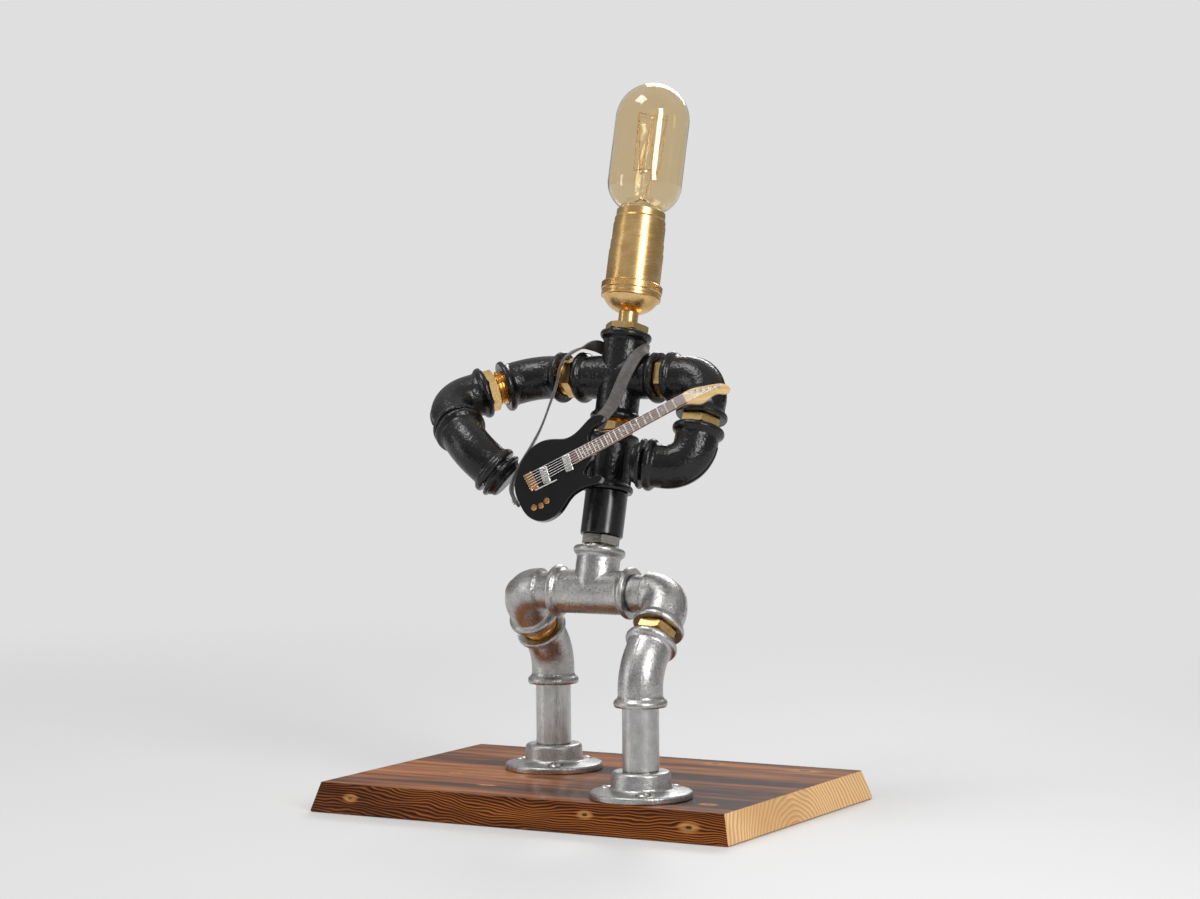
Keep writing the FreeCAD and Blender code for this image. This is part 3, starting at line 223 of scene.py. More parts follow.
SOCKETS = {
    "base_color": "Base Color", "metallic": "Metallic", "roughness": "Roughness", "normal": "Normal",
    "ior": "IOR", "transmission": "Transmission Weight", "specular": "Specular IOR Level",
    "coat": "Coat Weight", "coat_roughness": "Coat Roughness", "coat_ior": "Coat IOR",
    "coat_normal": "Coat Normal",
    "sheen": "Sheen Weight", "sheen_roughness": "Sheen Roughness",
}


# Finishes, one function for each material slot


RING_MM = 3.4
TOP_GRAIN_MM = 2.1
SIDE_GRAIN_MM = 1.6
PITH_MM = (-14.0, -16.0)
# Each knot's centre and its reach across the grain, the first three on the front edge
KNOTS_MM = (
    (-112.5, -94.0, 9.6, 2.6), (47.0, -93.0, 10.9, 2.6), (114.0, -93.0, 8.5, 3.4),
    (105.0, 74.0, 17.5, 5.5), (42.6, 77.0, 17.5, 4.0), (-81.0, -26.0, 17.5, 2.2), (-38.6, -59.0, 17.5, 2.6),
    (-40.0, -21.0, 17.5, 2.0), (112.0, -66.0, 17.5, 2.8), (-60.0, 66.0, 17.5, 3.0),
)
KNOT_LENGTH = 2.1


def wood(p):
    """Burnt pine under clear varnish, whose grain parts round the knots."""
    moved = p.place
    halo = 0.0
    for knot_x, knot_y, knot_z, reach in KNOTS_MM:
        away = p.vector("SUBTRACT", p.place, (knot_x * MM, knot_y * MM, knot_z * MM))
        narrow = 1.0 / (reach * MM)
        near = p.vector("LENGTH", p.vector("MULTIPLY", away, (narrow / KNOT_LENGTH, narrow, narrow)))
        near = p.math("POWER", 0.5, p.math("POWER", near, 2.0))
        push = p.vector("MULTIPLY", away, p.math("MULTIPLY", near, 0.88))
        moved = p.vector("SUBTRACT", moved, p.vector("MULTIPLY", push, (0.0, 1.0, 1.0)))
        halo = p.math("MAXIMUM", near, halo)
    x, y, z = p.split(moved)
    wobble = p.noise(62.0, 2.0, 0.5, p.stretched((0.5, 1.0, 1.0)))
    ripple = p.noise(15.0, 2.0, 0.5, p.stretched((0.5, 1.0, 1.0)))
    bend = p.math("ADD", p.math("MULTIPLY", wobble, 0.020), p.math("MULTIPLY", ripple, 0.0028))
    slope = p.math("MULTIPLY", p.math("MINIMUM", p.math("ADD", x, 30.0 * MM), 0.0), 0.13)
    top_phase = p.math("DIVIDE", p.math("ADD", y, bend), TOP_GRAIN_MM * MM)
    wave = p.math("MULTIPLY", p.noise(20.0, 2.0, 0.5, p.stretched((0.55, 1.0, 1.3))), 0.009)
    side_phase = p.math("ADD", p.math("ADD", z, slope), p.math("ADD", bend, wave))
    side_phase = p.math("DIVIDE", side_phase, SIDE_GRAIN_MM * MM)
    pith = p.join(0.0, p.math("ADD", y, PITH_MM[0] * -MM), p.math("ADD", z, PITH_MM[1] * -MM))
    end_phase = p.math("DIVIDE", p.math("ADD", p.vector("LENGTH", pith), bend), RING_MM * MM)
    facing = p.split(p.node("ShaderNodeNewGeometry").outputs["Normal"])
    side = p.ramp(p.math("ABSOLUTE", facing[1]), [(0.62, 0.0), (0.78, 1.0)])
    end = p.ramp(p.math("ABSOLUTE", facing[0]), [(0.62, 0.0), (0.78, 1.0)])
    phase = p.blend(end, p.blend(side, top_phase, side_phase), end_phase)
    late = p.ramp(p.math("FRACT", phase), [
        (0.0, 0.2), (0.16, 0.0), (0.42, 0.5), (0.72, 1.0), (0.90, 0.9), (1.0, 0.2),
    ])
    fibre = p.noise(0.7, 3.0, 0.6, p.stretched((0.04, 1.0, 1.0)))
    scorch = p.noise(19.0, 5.0, 0.66, p.stretched((0.07, 1.0, 0.6)))
    scorch = p.ramp(scorch, [(0.37, 0.0), (0.50, 0.36), (0.64, 1.0)])
    patch = p.noise(46.0, 2.0, 0.5, p.stretched((0.45, 1.0, 1.0)))
    scorch = p.math("MULTIPLY", scorch, p.between(patch, 0.75, 1.25))
    scorch = p.math("MULTIPLY", scorch, p.ramp(halo, [(0.20, 1.0), (0.60, 0.08)]), clamp=True)
    lines = p.math("MULTIPLY", late, p.between(fibre, 0.75, 1.15))
    dark_top = p.math("ADD", p.math("MULTIPLY", lines, 0.20), p.math("MULTIPLY", scorch, 0.68))
    dark_side = p.math("ADD", p.math("MULTIPLY", lines, 0.58), p.math("MULTIPLY", scorch, 0.34))
    dark_side = p.math("ADD", dark_side, 0.15)
    dark = p.math("MAXIMUM", p.blend(side, dark_top, dark_side), 0.0, clamp=True)
    colour = p.ramp(dark, [
        (0.0, (0.62, 0.235, 0.048)), (0.20, (0.37, 0.115, 0.019)), (0.45, (0.135, 0.034, 0.006)),
        (0.72, (0.036, 0.010, 0.003)), (1.0, (0.010, 0.004, 0.002)),
    ])
    glow = p.ramp(halo, [(0.42, 0.0), (0.74, 0.50)])
    glow = p.math("MULTIPLY", glow, p.between(fibre, 0.6, 1.1), clamp=True)
    colour = p.mix(glow, colour, (0.62, 0.34, 0.11))
    heart = p.ramp(halo, [(0.90, 0.0), (0.95, 1.0)])
    colour = p.mix(heart, colour, (0.075, 0.024, 0.008))
    pale = p.ramp(late, [(0.0, (0.90, 0.62, 0.33)), (0.5, (0.84, 0.53, 0.25)), (1.0, (0.64, 0.34, 0.13))])
    pale = p.mix(p.ramp(patch, [(0.50, 0.0), (0.70, 0.5)]), pale, (0.56, 0.29, 0.11))
    colour = p.mix(end, colour, pale)
    p.set(base_color=colour, roughness=p.between(fibre, 0.34, 0.46), specular=0.08)
    p.set(coat=0.38, coat_roughness=0.07, coat_ior=1.32)
    pores = p.bump(p.math("SUBTRACT", 1.0, late), 0.05)
    p.set(normal=p.bump(fibre, 0.02, pores))
    p.set(coat_normal=p.bump(late, 0.006, p.bump(p.noise(12.0, 2.0, 0.5), 0.03)))


def galvanised_iron(p):
    """Bright zinc over a sand casting: fine grit, soft mottling, and a few duller patches."""
    grit = p.noise(1.5, 3.0, 0.65)
    speck = p.noise(1.1, 2.0, 0.6)
    patch = p.noise(9.0, 3.0, 0.55)
    colour = p.ramp(patch, [
        (0.3, (0.42, 0.41, 0.40)), (0.5, (0.52, 0.51, 0.495)), (0.7, (0.60, 0.59, 0.575)),
    ])
    colour = p.mix(p.ramp(speck, [(0.44, 0.35), (0.58, 0.0)]), colour, (0.20, 0.195, 0.19))
    p.set(base_color=colour, metallic=1.0, roughness=p.between(speck, 0.26, 0.40))
    p.set(normal=p.bump(grit, 0.24))


def galvanised_pipe(p):
    """Zinc on drawn tube: smoother, with faint streaks along the pipe."""
    streak = p.noise(1.1, 3.0, 0.6, p.stretched((1.0, 1.0, 0.06)))
    patch = p.noise(6.0, 3.0, 0.6)
    grit = p.noise(0.5, 3.0, 0.6)
    colour = p.ramp(patch, [(0.3, (0.42, 0.412, 0.40)), (0.7, (0.56, 0.552, 0.54))])
    p.set(base_color=colour, metallic=1.0, roughness=p.between(streak, 0.24, 0.32))
    p.set(normal=p.bump(grit, 0.055, p.bump(streak, 0.004)))


def zinc_screw(p):
    patch = p.noise(0.9, 2.0, 0.5)
    colour = p.ramp(patch, [(0.35, (0.47, 0.46, 0.42)), (0.65, (0.66, 0.65, 0.60))])
    p.set(base_color=colour, metallic=1.0, roughness=p.between(patch, 0.22, 0.34))


def rubber_grommet(p):
    grain = p.noise(0.5, 2.0, 0.5)
    p.set(base_color=p.ramp(grain, [(0.3, 0.018), (0.7, 0.032)]), roughness=p.between(grain, 0.55, 0.7))


def nickel_nipple(p):
    turning = p.noise(0.35, 2.0, 0.5, p.stretched((0.1, 0.1, 1.0)))
    colour = p.ramp(p.noise(4.0), [(0.3, (0.56, 0.53, 0.47)), (0.7, (0.72, 0.69, 0.63))])
    p.set(base_color=colour, metallic=1.0, roughness=p.between(turning, 0.16, 0.30))
    p.set(normal=p.bump(turning, 0.008))


def black_steel(p):
    """Smooth black paint on turned steel."""
    ripple = p.noise(3.0, 2.0, 0.5)
    p.set(base_color=p.ramp(ripple, [(0.3, 0.006), (0.7, 0.010)]), roughness=p.between(ripple, 0.20, 0.28))
    p.set(specular=0.5, normal=p.bump(ripple, 0.02))


def black_iron(p):
    """Gloss black paint that has kept the pebbled skin of the sand casting under it."""
    pebble = p.cells(1.9, 0.8)
    grit = p.noise(1.3, 3.0, 0.65)
    lumps = p.noise(3.6, 2.0, 0.5)
    colour = p.ramp(lumps, [(0.3, (0.0030, 0.0030, 0.0034)), (0.7, (0.0060, 0.0060, 0.0064))])
    p.set(base_color=colour, roughness=p.between(grit, 0.18, 0.28), specular=0.42)
    p.set(normal=p.bump(pebble, 0.20, p.bump(grit, 0.15, p.bump(lumps, 0.08))))


def brass_nipple(p):
    tarnish = p.noise(5.0, 3.0, 0.55)
    colour = p.ramp(tarnish, [
        (0.3, (0.60, 0.38, 0.14)), (0.5, (0.74, 0.50, 0.21)), (0.7, (0.84, 0.61, 0.30)),
    ])
    p.set(base_color=colour, metallic=1.0, roughness=p.between(tarnish, 0.30, 0.20))
    p.set(normal=p.bump(p.noise(2.4, 2.0, 0.5), 0.012))


def holder_brass(p):
    """Turned and lacquered brass, a little browner where it has been handled."""
    tarnish = p.noise(14.0, 4.0, 0.62)
    fine = p.noise(0.5, 2.0, 0.5, p.stretched((0.06, 0.06, 1.0), (15.3, 0.0, 0.0)))
    colour = p.ramp(tarnish, [
        (0.3, (0.60, 0.37, 0.14)), (0.5, (0.74, 0.48, 0.20)), (0.7, (0.84, 0.58, 0.27)),
    ])
    p.set(base_color=colour, metallic=1.0, roughness=p.between(fine, 0.24, 0.33))
    p.set(normal=p.bump(fine, 0.0015))


def porcelain(p):
    glaze = p.noise(8.0)
    p.set(base_color=p.ramp(glaze, [(0.3, (0.76, 0.74, 0.68)), (0.7, (0.84, 0.82, 0.77))]), roughness=0.16)


def contact_brass(p):
    tarnish = p.noise(6.0, 3.0, 0.6)
    colour = p.ramp(tarnish, [(0.3, (0.58, 0.42, 0.18)), (0.7, (0.80, 0.62, 0.30))])
    p.set(base_color=colour, metallic=1.0, roughness=p.between(tarnish, 0.32, 0.2))


def amber_glass(p):
    """Thin blown glass with a weak brown tint that deepens towards its edges."""
    wave = p.noise(26.0, 2.0, 0.5, p.stretched((1.0, 1.0, 0.4)))
    p.set(base_color=(0.82, 0.72, 0.54), roughness=0.0, ior=1.45, transmission=1.0)
    p.set(normal=p.bump(wave, 0.12))


def clear_glass(p):
    wave = p.noise(5.0, 2.0, 0.5)
    p.set(base_color=(0.96, 0.94, 0.90), roughness=0.0, ior=1.5, transmission=1.0)
    p.set(normal=p.bump(wave, 0.10))


def filament_wire(p):
    patch = p.noise(2.0, 2.0, 0.5)
    colour = p.ramp(patch, [(0.3, (0.52, 0.33, 0.14)), (0.7, (0.86, 0.62, 0.32))])
    p.set(base_color=colour, metallic=1.0, roughness=p.between(patch, 0.2, 0.35))


def guitar_black(p):
    haze = p.noise(7.0, 2.0, 0.5)
    p.set(base_color=p.ramp(haze, [(0.3, 0.003), (0.7, 0.005)]), roughness=p.between(haze, 0.08, 0.13))


def maple(p):
    rings = p.noise(2.6, 3.0, 0.55, p.stretched((0.12, 0.2, 1.0), (0.0, -29.0, 0.0)))
    colour = p.ramp(rings, [(0.3, (0.62, 0.39, 0.17)), (0.5, (0.76, 0.53, 0.26)), (0.7, (0.85, 0.64, 0.35))])
    p.set(base_color=colour, roughness=p.between(rings, 0.26, 0.38))


def rosewood(p):
    rings = p.noise(1.2, 3.0, 0.6, p.stretched((0.12, 0.2, 1.0), (0.0, -29.0, 0.0)))
    colour = p.ramp(rings, [(0.3, (0.095, 0.036, 0.022)), (0.7, (0.185, 0.078, 0.050))])
    p.set(base_color=colour, roughness=p.between(rings, 0.35, 0.5))


def nickel_wire(p):
    patch = p.noise(1.5, 2.0, 0.5)
    p.set(base_color=p.ramp(patch, [(0.3, (0.80, 0.78, 0.75)), (0.7, (0.93, 0.92, 0.89))]))
    p.set(metallic=1.0, roughness=p.between(patch, 0.24, 0.34))


def pickup_cover(p):
    patch = p.noise(2.5, 2.0, 0.5)
    p.set(base_color=p.ramp(patch, [(0.3, (0.62, 0.61, 0.60)), (0.7, (0.78, 0.77, 0.75))]))
    p.set(metallic=1.0, roughness=p.between(patch, 0.22, 0.32))


def gold_hardware(p):
    patch = p.noise(2.0, 2.0, 0.5)
    colour = p.ramp(patch, [(0.3, (0.70, 0.34, 0.12)), (0.7, (0.90, 0.56, 0.24))])
    p.set(base_color=colour, metallic=1.0, roughness=p.between(patch, 0.16, 0.26))


def strap_leather(p):
    """Dark grey leather: small pebbled grain with fine creases and a soft sheen."""
    grain = p.cells(0.5, 0.5)
    crease = p.noise(2.6, 3.0, 0.55)
    colour = p.ramp(crease, [
        (0.3, (0.050, 0.044, 0.042)), (0.5, (0.075, 0.066, 0.063)), (0.7, (0.105, 0.093, 0.088)),
    ])
    p.set(base_color=colour, roughness=p.between(crease, 0.44, 0.56), specular=0.5)
    p.set(sheen=0.25, sheen_roughness=0.4)
    p.set(normal=p.bump(grain, 0.035, p.bump(crease, 0.03)))


def lead_sheath(p):
    grain = p.noise(0.6, 2.0, 0.5)
    p.set(base_color=p.ramp(grain, [(0.3, 0.025), (0.7, 0.04)]), roughness=p.between(grain, 0.4, 0.5))


# Each function is named like the material slot that it finishes
FINISH_MAKERS = (
    wood, galvanised_iron, galvanised_pipe, zinc_screw, rubber_grommet, nickel_nipple, black_steel,
    black_iron, brass_nipple, holder_brass, porcelain, contact_brass, amber_glass, clear_glass,
    filament_wire, guitar_black, maple, rosewood, nickel_wire, pickup_cover, gold_hardware,
    strap_leather, lead_sheath,
)


def paint_frame():
    """Gives every node of the frame the finish of its material slot."""
    makers = {make.__name__: make for make in FINISH_MAKERS}
    finishes = {}
    for part in frame["record"]["subparts"]:
        slot = part["material_slot"]
        if slot not in finishes:
            paint = Paint(slot)
            makers[slot](paint)
            finishes[slot] = paint.material
        node = frame["nodes"][part["node"]]
        node.data.materials.clear()
        node.data.materials.append(finishes[slot])
    return finishes


# Places on the figure in millimetres, from the frame's joints

BODY_RADIUS = 13.0
BEAD_RADIUS = 15.5
BRIDGE_PLACE = (-19.1, -76.27, 42.96)
NUT_PLACE = (63.8, -22.27, 23.31)
FRONT_TILT = 15.5
FRONT_SWING = 25.2
GUITAR_THICKNESS = 7.5

joints = {joint["name"]: joint for joint in frame["joints"]}
shoulders = Vector(joints["left_shoulder_turn"]["pos_m"]) / MM
torso_axis = Vector(joints["waist_turn"]["axis"]).normalized()
torso_front = X.cross(torso_axis)


def turned(v, axis, degrees):
    """The direction v, turned about an axis by the right-hand rule."""
    return Matrix.Rotation(math.radians(degrees), 3, axis) @ v


def square_to(v, axis):
    """The part of v that is square to an axis, as a unit vector."""
    a = axis.normalized()
    return (v - a * v.dot(a)).normalized()


def before_chest(x, height, distance):
    return shoulders + X * x + torso_axis * height + torso_front * (BODY_RADIUS + distance)


bridge_point = before_chest(*BRIDGE_PLACE)
nut_point = before_chest(*NUT_PLACE)
scale_length = (nut_point - bridge_point).length
guitar_x = (nut_point - bridge_point).normalized()
guitar_face = square_to(turned(turned(-Y, X, -FRONT_TILT), Z, FRONT_SWING), guitar_x)
guitar_y = guitar_face.cross(guitar_x)


def guitar_point(x, y, z):
    return bridge_point + guitar_x * x + guitar_y * y + guitar_face * z


MERGE_MM = 0.0005
SHARP_DEGREES = 35


def add_piece(name, grid, slot):
    """Makes an object of a mesh in millimetres, which rides on the torso with a slot's finish."""
    bmesh.ops.remove_doubles(grid, verts=grid.verts, dist=MERGE_MM)
    bmesh.ops.recalc_face_normals(grid, faces=grid.faces)
    bmesh.ops.scale(grid, vec=(MM, MM, MM), verts=grid.verts)
    mesh = bpy.data.meshes.new(name)
    grid.to_mesh(mesh)
    grid.free()
    mesh.shade_smooth()
    mesh.set_sharp_from_angle(angle=math.radians(SHARP_DEGREES))
    piece = bpy.data.objects.new(name, mesh)
    scene.collection.objects.link(piece)
    mesh.materials.append(finishes[slot])
    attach(piece, "torso")
    return piece


def join_rings(grid, rings):
    """Joins each ring of corners to the next with a band of faces."""
    for first, second in zip(rings, rings[1:]):
        for i in range(len(first)):
            j = (i + 1) % len(first)
            grid.faces.new((first[i], first[j], second[j], second[i]))


def skin(grid, rows):
    """Joins rows of points into one closed skin, each row a closed ring, with the ends filled."""
    rings = [[grid.verts.new(point) for point in row] for row in rows]
    join_rings(grid, rings)
    grid.faces.new(rings[0][::-1])
    grid.faces.new(rings[-1])


# Strap, from the guitar's tail over the right shoulder, behind the neck and down to the bass horn

STRAP_WIDTH = 7.5
STRAP_THICKNESS = 1.2
STRAP_EDGE = 0.5
STRAP_END = -13.7
STRAP_LIFT = 0.1
ROUND_END_START = 0.12
STRAP_REST = 0.85
STRAP_CLEARANCE = 0.8
STEPS_BETWEEN_STATIONS = 8


def over_shoulder(x, degrees, lift):
    """A point of the strap over the shoulder fittings' beads, turning from straight up to the front."""
    return shoulders + X * x + turned(Z, X, degrees) * (BEAD_RADIUS + STRAP_THICKNESS / 2 + lift)


def round_neck(degrees):
    """A point of the strap round the back of the neck, turning from the back to the figure's right."""
    centre = shoulders + torso_axis * (BODY_RADIUS + STRAP_REST + STRAP_WIDTH / 2)
    radius = BODY_RADIUS + STRAP_CLEARANCE + STRAP_THICKNESS / 2
    return centre + turned(square_to(Y, torso_axis), torso_axis, degrees) * radius


def strap_stations():
    """The middle of the strap and the direction of its upper or nearer edge, station by station."""
    end = -GUITAR_THICKNESS / 2
    behind = -GUITAR_THICKNESS - STRAP_THICKNESS / 2 - STRAP_LIFT
    horn_way = guitar_y * 0.74 - guitar_x * 0.67
    stations = [
        (guitar_point(STRAP_END, -9.0, end), guitar_face),
        (guitar_point(STRAP_END, 1.0, end), guitar_face),
        (shoulders + Vector((-33.8, -63.9, -52.7)), Vector((0.40, -0.88, 0.25))),
        (shoulders + Vector((-33.4, -49.4, -39.7)), Vector((0.52, -0.78, 0.35))),
        (shoulders + Vector((-33.8, -37.4, -29.1)), Vector((0.56, -0.68, 0.46))),
        (shoulders + Vector((-34.9, -25.4, -16.1)), Vector((0.55, -0.66, 0.52))),
        (over_shoulder(-34.6, 99.8, 0.95), Vector((0.46, -0.78, 0.42))),
        (over_shoulder(-33.2, 68.4, 0.46), Vector((0.45, -0.86, 0.20))),
        (over_shoulder(-31.4, 37.8, 0.22), Vector((0.42, -0.88, -0.20))),
        (over_shoulder(-25.4, 10.3, 1.89), Vector((0.15, -0.96, -0.10))),
        (over_shoulder(-18.2, -6.6, 2.93), Vector((0.02, -0.45, 0.89))),
    ]
    for degrees in (75, 50, 25, 0, -25, -50, -75):
        stations.append((round_neck(degrees), torso_axis))
    return stations + [
        (over_shoulder(16.6, 0.7, 0.4), Vector((-0.75, 0.10, 0.66))),
        (over_shoulder(16.2, 34.9, 0.35), Vector((-0.92, -0.25, 0.30))),
        (over_shoulder(13.4, 76.8, 0.95), Vector((-0.86, -0.48, 0.14))),
        (shoulders + Vector((16.4, -42.0, -16.3)), Vector((-0.86, -0.48, 0.18))),
        (guitar_point(53.4, 15.8, behind), horn_way),
        (guitar_point(47.6, 11.0, behind), horn_way),
    ]


def lean(a, b, start, end, at):
    """Two pairs of vectors mixed by where a number lies between a start and an end."""
    share = (at - start) / (end - start)
    return [first.lerp(second, share) for first, second in zip(a, b)]


def curve_through(stations, steps):
    """Stations on a smooth curve through the given ones, which doesn't swing out between them."""
    first = [p * 2 - q for p, q in zip(stations[0], stations[1])]
    last = [p * 2 - q for p, q in zip(stations[-1], stations[-2])]
    line = [first, *stations, last]
    smooth = []
    for a, b, c, d in zip(line, line[1:], line[2:], line[3:]):
        knots = [0.0]
        for one, other in ((a, b), (b, c), (c, d)):
            knots.append(knots[-1] + math.sqrt((other[0] - one[0]).length))
        for step in range(steps):
            at = knots[1] + (knots[2] - knots[1]) * step / steps
            ab = lean(a, b, knots[0], knots[1], at)
            bc = lean(b, c, knots[1], knots[2], at)
            cd = lean(c, d, knots[2], knots[3], at)
            abc = lean(ab, bc, knots[0], knots[2], at)
            bcd = lean(bc, cd, knots[1], knots[3], at)
            smooth.append(lean(abc, bcd, knots[1], knots[2], at))
    smooth.append([p.copy() for p in stations[-1]])
    return smooth


def strap_outline(half_width):
    """The strap's section: flat faces with a faint pressed line along each rounded edge."""
    half = STRAP_THICKNESS / 2
    inner = half_width - STRAP_EDGE
    side = []
    for step in range(7):
        a = math.radians(90 - 30 * step)
        side.append((inner + STRAP_EDGE * math.cos(a), half * math.sin(a)))
    pressed = [(inner - 0.35, half), (inner - 0.55, half - 0.10), (inner - 0.75, half)]
    right = [(u, v) for u, v in reversed(pressed)] + side + [(u, -v) for u, v in pressed]
    return right + [(-u, -v) for u, v in right]


def make_strap():
    line = curve_through(strap_stations(), STEPS_BETWEEN_STATIONS)
    lengths = [0.0]
    for before, after in zip(line, line[1:]):
        lengths.append(lengths[-1] + (after[0] - before[0]).length)
    rows = []
    outline = strap_outline(STRAP_WIDTH / 2)
    for number, (centre, edge) in enumerate(line):
        before = line[max(number - 1, 0)][0]
        after = line[min(number + 1, len(line) - 1)][0]
        along = (after - before).normalized()
        across = square_to(edge, along)
        out = along.cross(across)
        from_end = min(lengths[number], lengths[-1] - lengths[number]) / (STRAP_WIDTH / 2)
        round_end = math.sqrt(1 - (1 - min(from_end + ROUND_END_START, 1)) ** 2)
        rows.append([centre + across * (u * round_end) + out * v for u, v in outline])
    grid = bmesh.new()
    skin(grid, rows)
    strap = add_piece("leather_strap", grid, "strap_leather")
    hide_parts("strap")


# Trim of the guitar, in its own axes: x from the bridge to the nut, y to the bass side, z outwards

FRET_BASE = 2.3
DOT_FRETS = (3, 5, 7, 9, 12, 15, 17, 19)
DOUBLE_DOT = 12
STRINGS = 6
STRING_SPACING = 1.55
NUT_STRING_SPACING = 0.95
PICKUPS = ((9.2, -1.0), (24.2, -1.0))
PICKUP_SIZE = (4.8, 9.8, 2.0)
PICKUP_SLANT = 10.0
KNOBS = ((-5.0, -15.0), (-0.8, -15.9), (3.4, -15.0))
RING_HEIGHT = 0.8
RING_EDGE = 0.85
RING_GAP = 0.05
POLE_ROW = 1.1
SADDLE_SCREW_PLACE = (-2.15, 2.1)
PLATE_SCREWS = ((-1.6, -5.05), (-1.6, 4.45), (2.1, -5.05), (2.1, 4.45))


def string_y(number, x):
    """A string's distance from the guitar's middle line, x from the bridge."""
    share = x / scale_length
    spacing = STRING_SPACING * (1 - share) + NUT_STRING_SPACING * share
    return spacing * (number - (STRINGS - 1) / 2)


def lathe(grid, profile, place, axis=None, segments=20, lobes=0.0):
    """Turns a profile of radius and height about an axis on the guitar; lobes above 0 flute its rim."""
    axis = guitar_face if axis is None else axis
    across = square_to(guitar_x + guitar_y * 0.3, axis)
    along = axis.cross(across)
    rows = []
    for radius, height in profile:
        row = []
        for i in range(segments):
            a = 2 * math.pi * i / segments
            r = radius * (1 + lobes * (1 if i % 2 else -1))
            row.append(place + (across * math.cos(a) + along * math.sin(a)) * r + axis * height)
        rows.append(row)
    skin(grid, rows)


def slanted_oblong(centre, width, length, corner, z):
    """The outline of a round-cornered oblong on the guitar, slanted like a pickup."""
    slant = math.radians(-PICKUP_SLANT)
    points = []
    for quarter, (side, end) in enumerate(((1, 1), (-1, 1), (-1, -1), (1, -1))):
        for step in range(5):
            a = math.radians(90 * quarter + 22.5 * step)
            x = side * (width / 2 - corner) + corner * math.cos(a)
            y = end * (length / 2 - corner) + corner * math.sin(a)
            along = centre[0] + x * math.cos(slant) - y * math.sin(slant)
            across = centre[1] + x * math.sin(slant) + y * math.cos(slant)
            points.append(guitar_point(along, across, z))
    return points


def frame_ring(grid, centre, size, opening):
    """A flat rounded frame round a pickup, standing on the guitar's top."""
    width, length = size
    base = 0.05
    rows = [
        slanted_oblong(centre, *opening, 0.5, base),
        slanted_oblong(centre, *size, 0.9, base),
        slanted_oblong(centre, *size, 0.9, RING_HEIGHT - 0.2),
        slanted_oblong(centre, width - 0.3, length - 0.3, 0.8, RING_HEIGHT),
        slanted_oblong(centre, *opening, 0.5, RING_HEIGHT),
    ]
    rings = [[grid.verts.new(point) for point in row] for row in rows]
    join_rings(grid, rings + rings[:1])


def make_pickup_trim():
    """A dark frame round each pickup, and two rows of poles under the strings."""
    rings = bmesh.new()
    poles = bmesh.new()
    width, length, height = PICKUP_SIZE
    size = (width + 2 * RING_EDGE, length + 2 * RING_EDGE)
    opening = (width + 2 * RING_GAP, length + 2 * RING_GAP)
    pole = [(0.42, -0.1), (0.42, 0.10), (0.34, 0.20), (0.14, 0.26)]
    for x, y in PICKUPS:
        frame_ring(rings, (x, y), size, opening)
        for number in range(STRINGS):
            pole_y = string_y(number, x)
            if abs(pole_y - y) > length / 2 - 0.6:
                continue
            for row in (-POLE_ROW, POLE_ROW):
                pole_x = x + row + (pole_y - y) * math.tan(math.radians(PICKUP_SLANT))
                lathe(poles, pole, guitar_point(pole_x, pole_y, height), segments=12)
    add_piece("pickup_rings", rings, "guitar_black")
    add_piece("pickup_poles", poles, "nickel_wire")


def make_fretboard_dots():
    dots = bmesh.new()
    dot = [(0.48, -0.15), (0.48, 0.03), (0.42, 0.06)]
    for number in DOT_FRETS:
        x = scale_length * (0.5 ** (number / 12) + 0.5 ** ((number - 1) / 12)) / 2
        for y in ((-1.5, 1.5) if number == DOUBLE_DOT else (0.0,)):
            lathe(dots, dot, guitar_point(x, y, FRET_BASE), segments=16)
    add_piece("fretboard_dots", dots, "porcelain")


def make_knob_skirts():
    skirts = bmesh.new()
    skirt = [(1.62, 0.15), (1.76, 0.35), (1.72, 1.55), (1.50, 1.75)]
    for x, y in KNOBS:
        lathe(skirts, skirt, guitar_point(x, y, 0), segments=40, lobes=0.025)
    add_piece("knob_skirts", skirts, "gold_hardware")


def make_bridge_screws():
    screws = bmesh.new()
    x, z = SADDLE_SCREW_PLACE
    for number in range(STRINGS):
        head = guitar_point(x, string_y(number, 0), z)
        lathe(screws, [(0.34, -0.3), (0.34, 0.22), (0.22, 0.32)], head, -guitar_x, 12)
    for x, y in PLATE_SCREWS:
        lathe(screws, [(0.42, -0.2), (0.42, 0.10), (0.2, 0.24)], guitar_point(x, y, 1.0), segments=14)
    add_piece("bridge_screws", screws, "nickel_wire")


# Stage and light

FLOOR_RADIUS = 9.0
FLOOR_GREY = 0.70
BACKGROUND_GREY = 0.74
NEAR_FLOOR = 0.32
FAR_FLOOR = 1.30


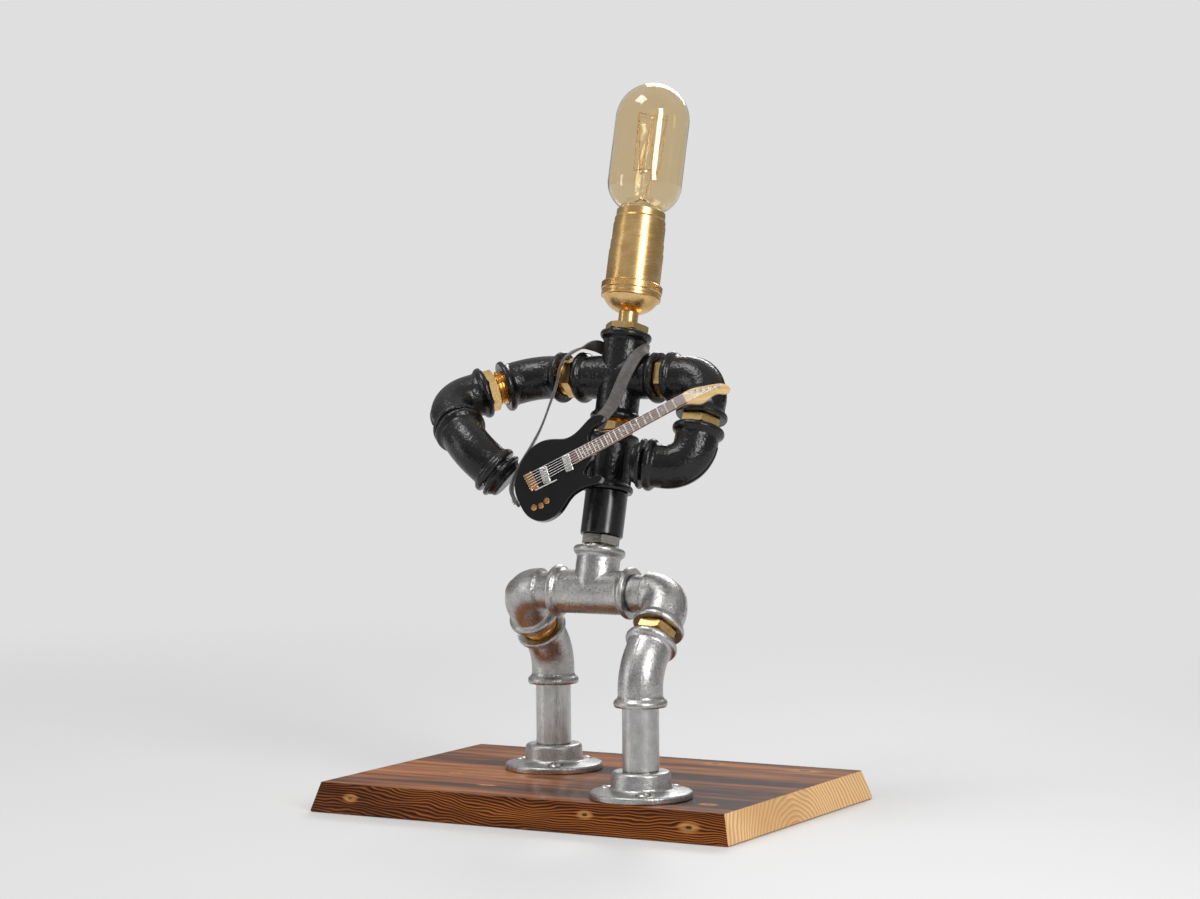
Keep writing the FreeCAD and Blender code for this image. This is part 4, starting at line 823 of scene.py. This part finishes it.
def make_floor():
    """A pale floor that turns by itself into the plain background colour far from the object."""
    mesh = bpy.data.meshes.new("floor")
    grid = bmesh.new()
    bmesh.ops.create_circle(grid, cap_ends=True, segments=96, radius=FLOOR_RADIUS)
    grid.to_mesh(mesh)
    grid.free()
    floor = bpy.data.objects.new("floor", mesh)
    floor.location = (0, 0, -0.0002)
    scene.collection.objects.link(floor)
    paint = Paint("floor_paint")
    mottle = paint.noise(300.0, 2.0, 0.5)
    paint.set(base_color=paint.ramp(mottle, [(0.3, FLOOR_GREY * 0.985), (0.7, FLOOR_GREY)]), roughness=0.6)
    glow = paint.node("ShaderNodeEmission")
    glow.inputs["Color"].default_value = (BACKGROUND_GREY, BACKGROUND_GREY, BACKGROUND_GREY, 1)
    reach = paint.node("ShaderNodeMapRange", interpolation_type="SMOOTHSTEP")
    paint.feed(reach.inputs["Value"], paint.vector("LENGTH", paint.place))
    reach.inputs["From Min"].default_value = NEAR_FLOOR
    reach.inputs["From Max"].default_value = FAR_FLOOR
    path = paint.node("ShaderNodeLightPath").outputs
    seen = paint.math("MAXIMUM", path["Is Camera Ray"], path["Is Glossy Ray"])
    seen = paint.math("MAXIMUM", seen, path["Is Transmission Ray"])
    mix = paint.node("ShaderNodeMixShader")
    paint.feed(mix.inputs[0], paint.math("MULTIPLY", seen, reach.outputs[0]))
    paint.feed(mix.inputs[1], paint.shader.outputs[0])
    paint.feed(mix.inputs[2], glow.outputs[0])
    paint.feed(paint.tree.nodes["Material Output"].inputs["Surface"], mix.outputs[0])
    mesh.materials.append(paint.material)


def make_world():
    """A soft sky, bright overhead and dimmer low down, with a plain pale colour behind the object."""
    world = bpy.data.worlds.new("world")
    scene.world = world
    world.use_nodes = True
    tree = world.node_tree
    tree.nodes.clear()
    coordinates = tree.nodes.new("ShaderNodeTexCoord")
    split = tree.nodes.new("ShaderNodeSeparateXYZ")
    tree.links.new(coordinates.outputs["Generated"], split.inputs[0])
    ramp = tree.nodes.new("ShaderNodeValToRGB")
    tree.links.new(split.outputs["Z"], ramp.inputs[0])
    ramp.color_ramp.elements[0].position = 0.0
    ramp.color_ramp.elements[0].color = (0.17, 0.173, 0.18, 1)
    ramp.color_ramp.elements[1].position = 0.85
    ramp.color_ramp.elements[1].color = (0.60, 0.60, 0.60, 1)
    sky = tree.nodes.new("ShaderNodeBackground")
    tree.links.new(ramp.outputs["Color"], sky.inputs["Color"])
    plain = tree.nodes.new("ShaderNodeBackground")
    plain.inputs["Color"].default_value = (BACKGROUND_GREY, BACKGROUND_GREY, BACKGROUND_GREY, 1)
    path = tree.nodes.new("ShaderNodeLightPath")
    seen = tree.nodes.new("ShaderNodeMath")
    seen.operation = "MAXIMUM"
    tree.links.new(path.outputs["Is Camera Ray"], seen.inputs[0])
    tree.links.new(path.outputs["Is Transmission Ray"], seen.inputs[1])
    mix = tree.nodes.new("ShaderNodeMixShader")
    tree.links.new(seen.outputs[0], mix.inputs["Fac"])
    tree.links.new(sky.outputs[0], mix.inputs[1])
    tree.links.new(plain.outputs[0], mix.inputs[2])
    output = tree.nodes.new("ShaderNodeOutputWorld")
    tree.links.new(mix.outputs[0], output.inputs["Surface"])


def softbox(name, place, aim, width, height, watts):
    data = bpy.data.lights.new(name, "AREA")
    data.shape = "RECTANGLE"
    data.size = width
    data.size_y = height
    data.energy = watts
    light = bpy.data.objects.new(name, data)
    light.location = place
    light.rotation_euler = (Vector(aim) - Vector(place)).to_track_quat("-Z", "Y").to_euler()
    light.visible_camera = False
    scene.collection.objects.link(light)


def make_lights():
    middle = (0.0, 0.0, 0.22)
    softbox("key_light", (1.35, -0.80, 0.95), middle, 0.40, 0.90, 15.0)
    softbox("top_light", (-0.35, -0.45, 1.45), middle, 0.60, 0.45, 7.0)
    softbox("left_light", (-1.20, -0.95, 0.50), middle, 0.22, 0.90, 3.0)
    softbox("back_light", (-0.35, 1.30, 0.95), middle, 0.70, 0.40, 6.0)


make_camera()
make_world()
make_lights()
make_floor()
finishes = paint_frame()
make_strap()
make_pickup_trim()
make_fretboard_dots()
make_knob_skirts()
make_bridge_screws()

scene.view_settings.view_transform = "Standard"
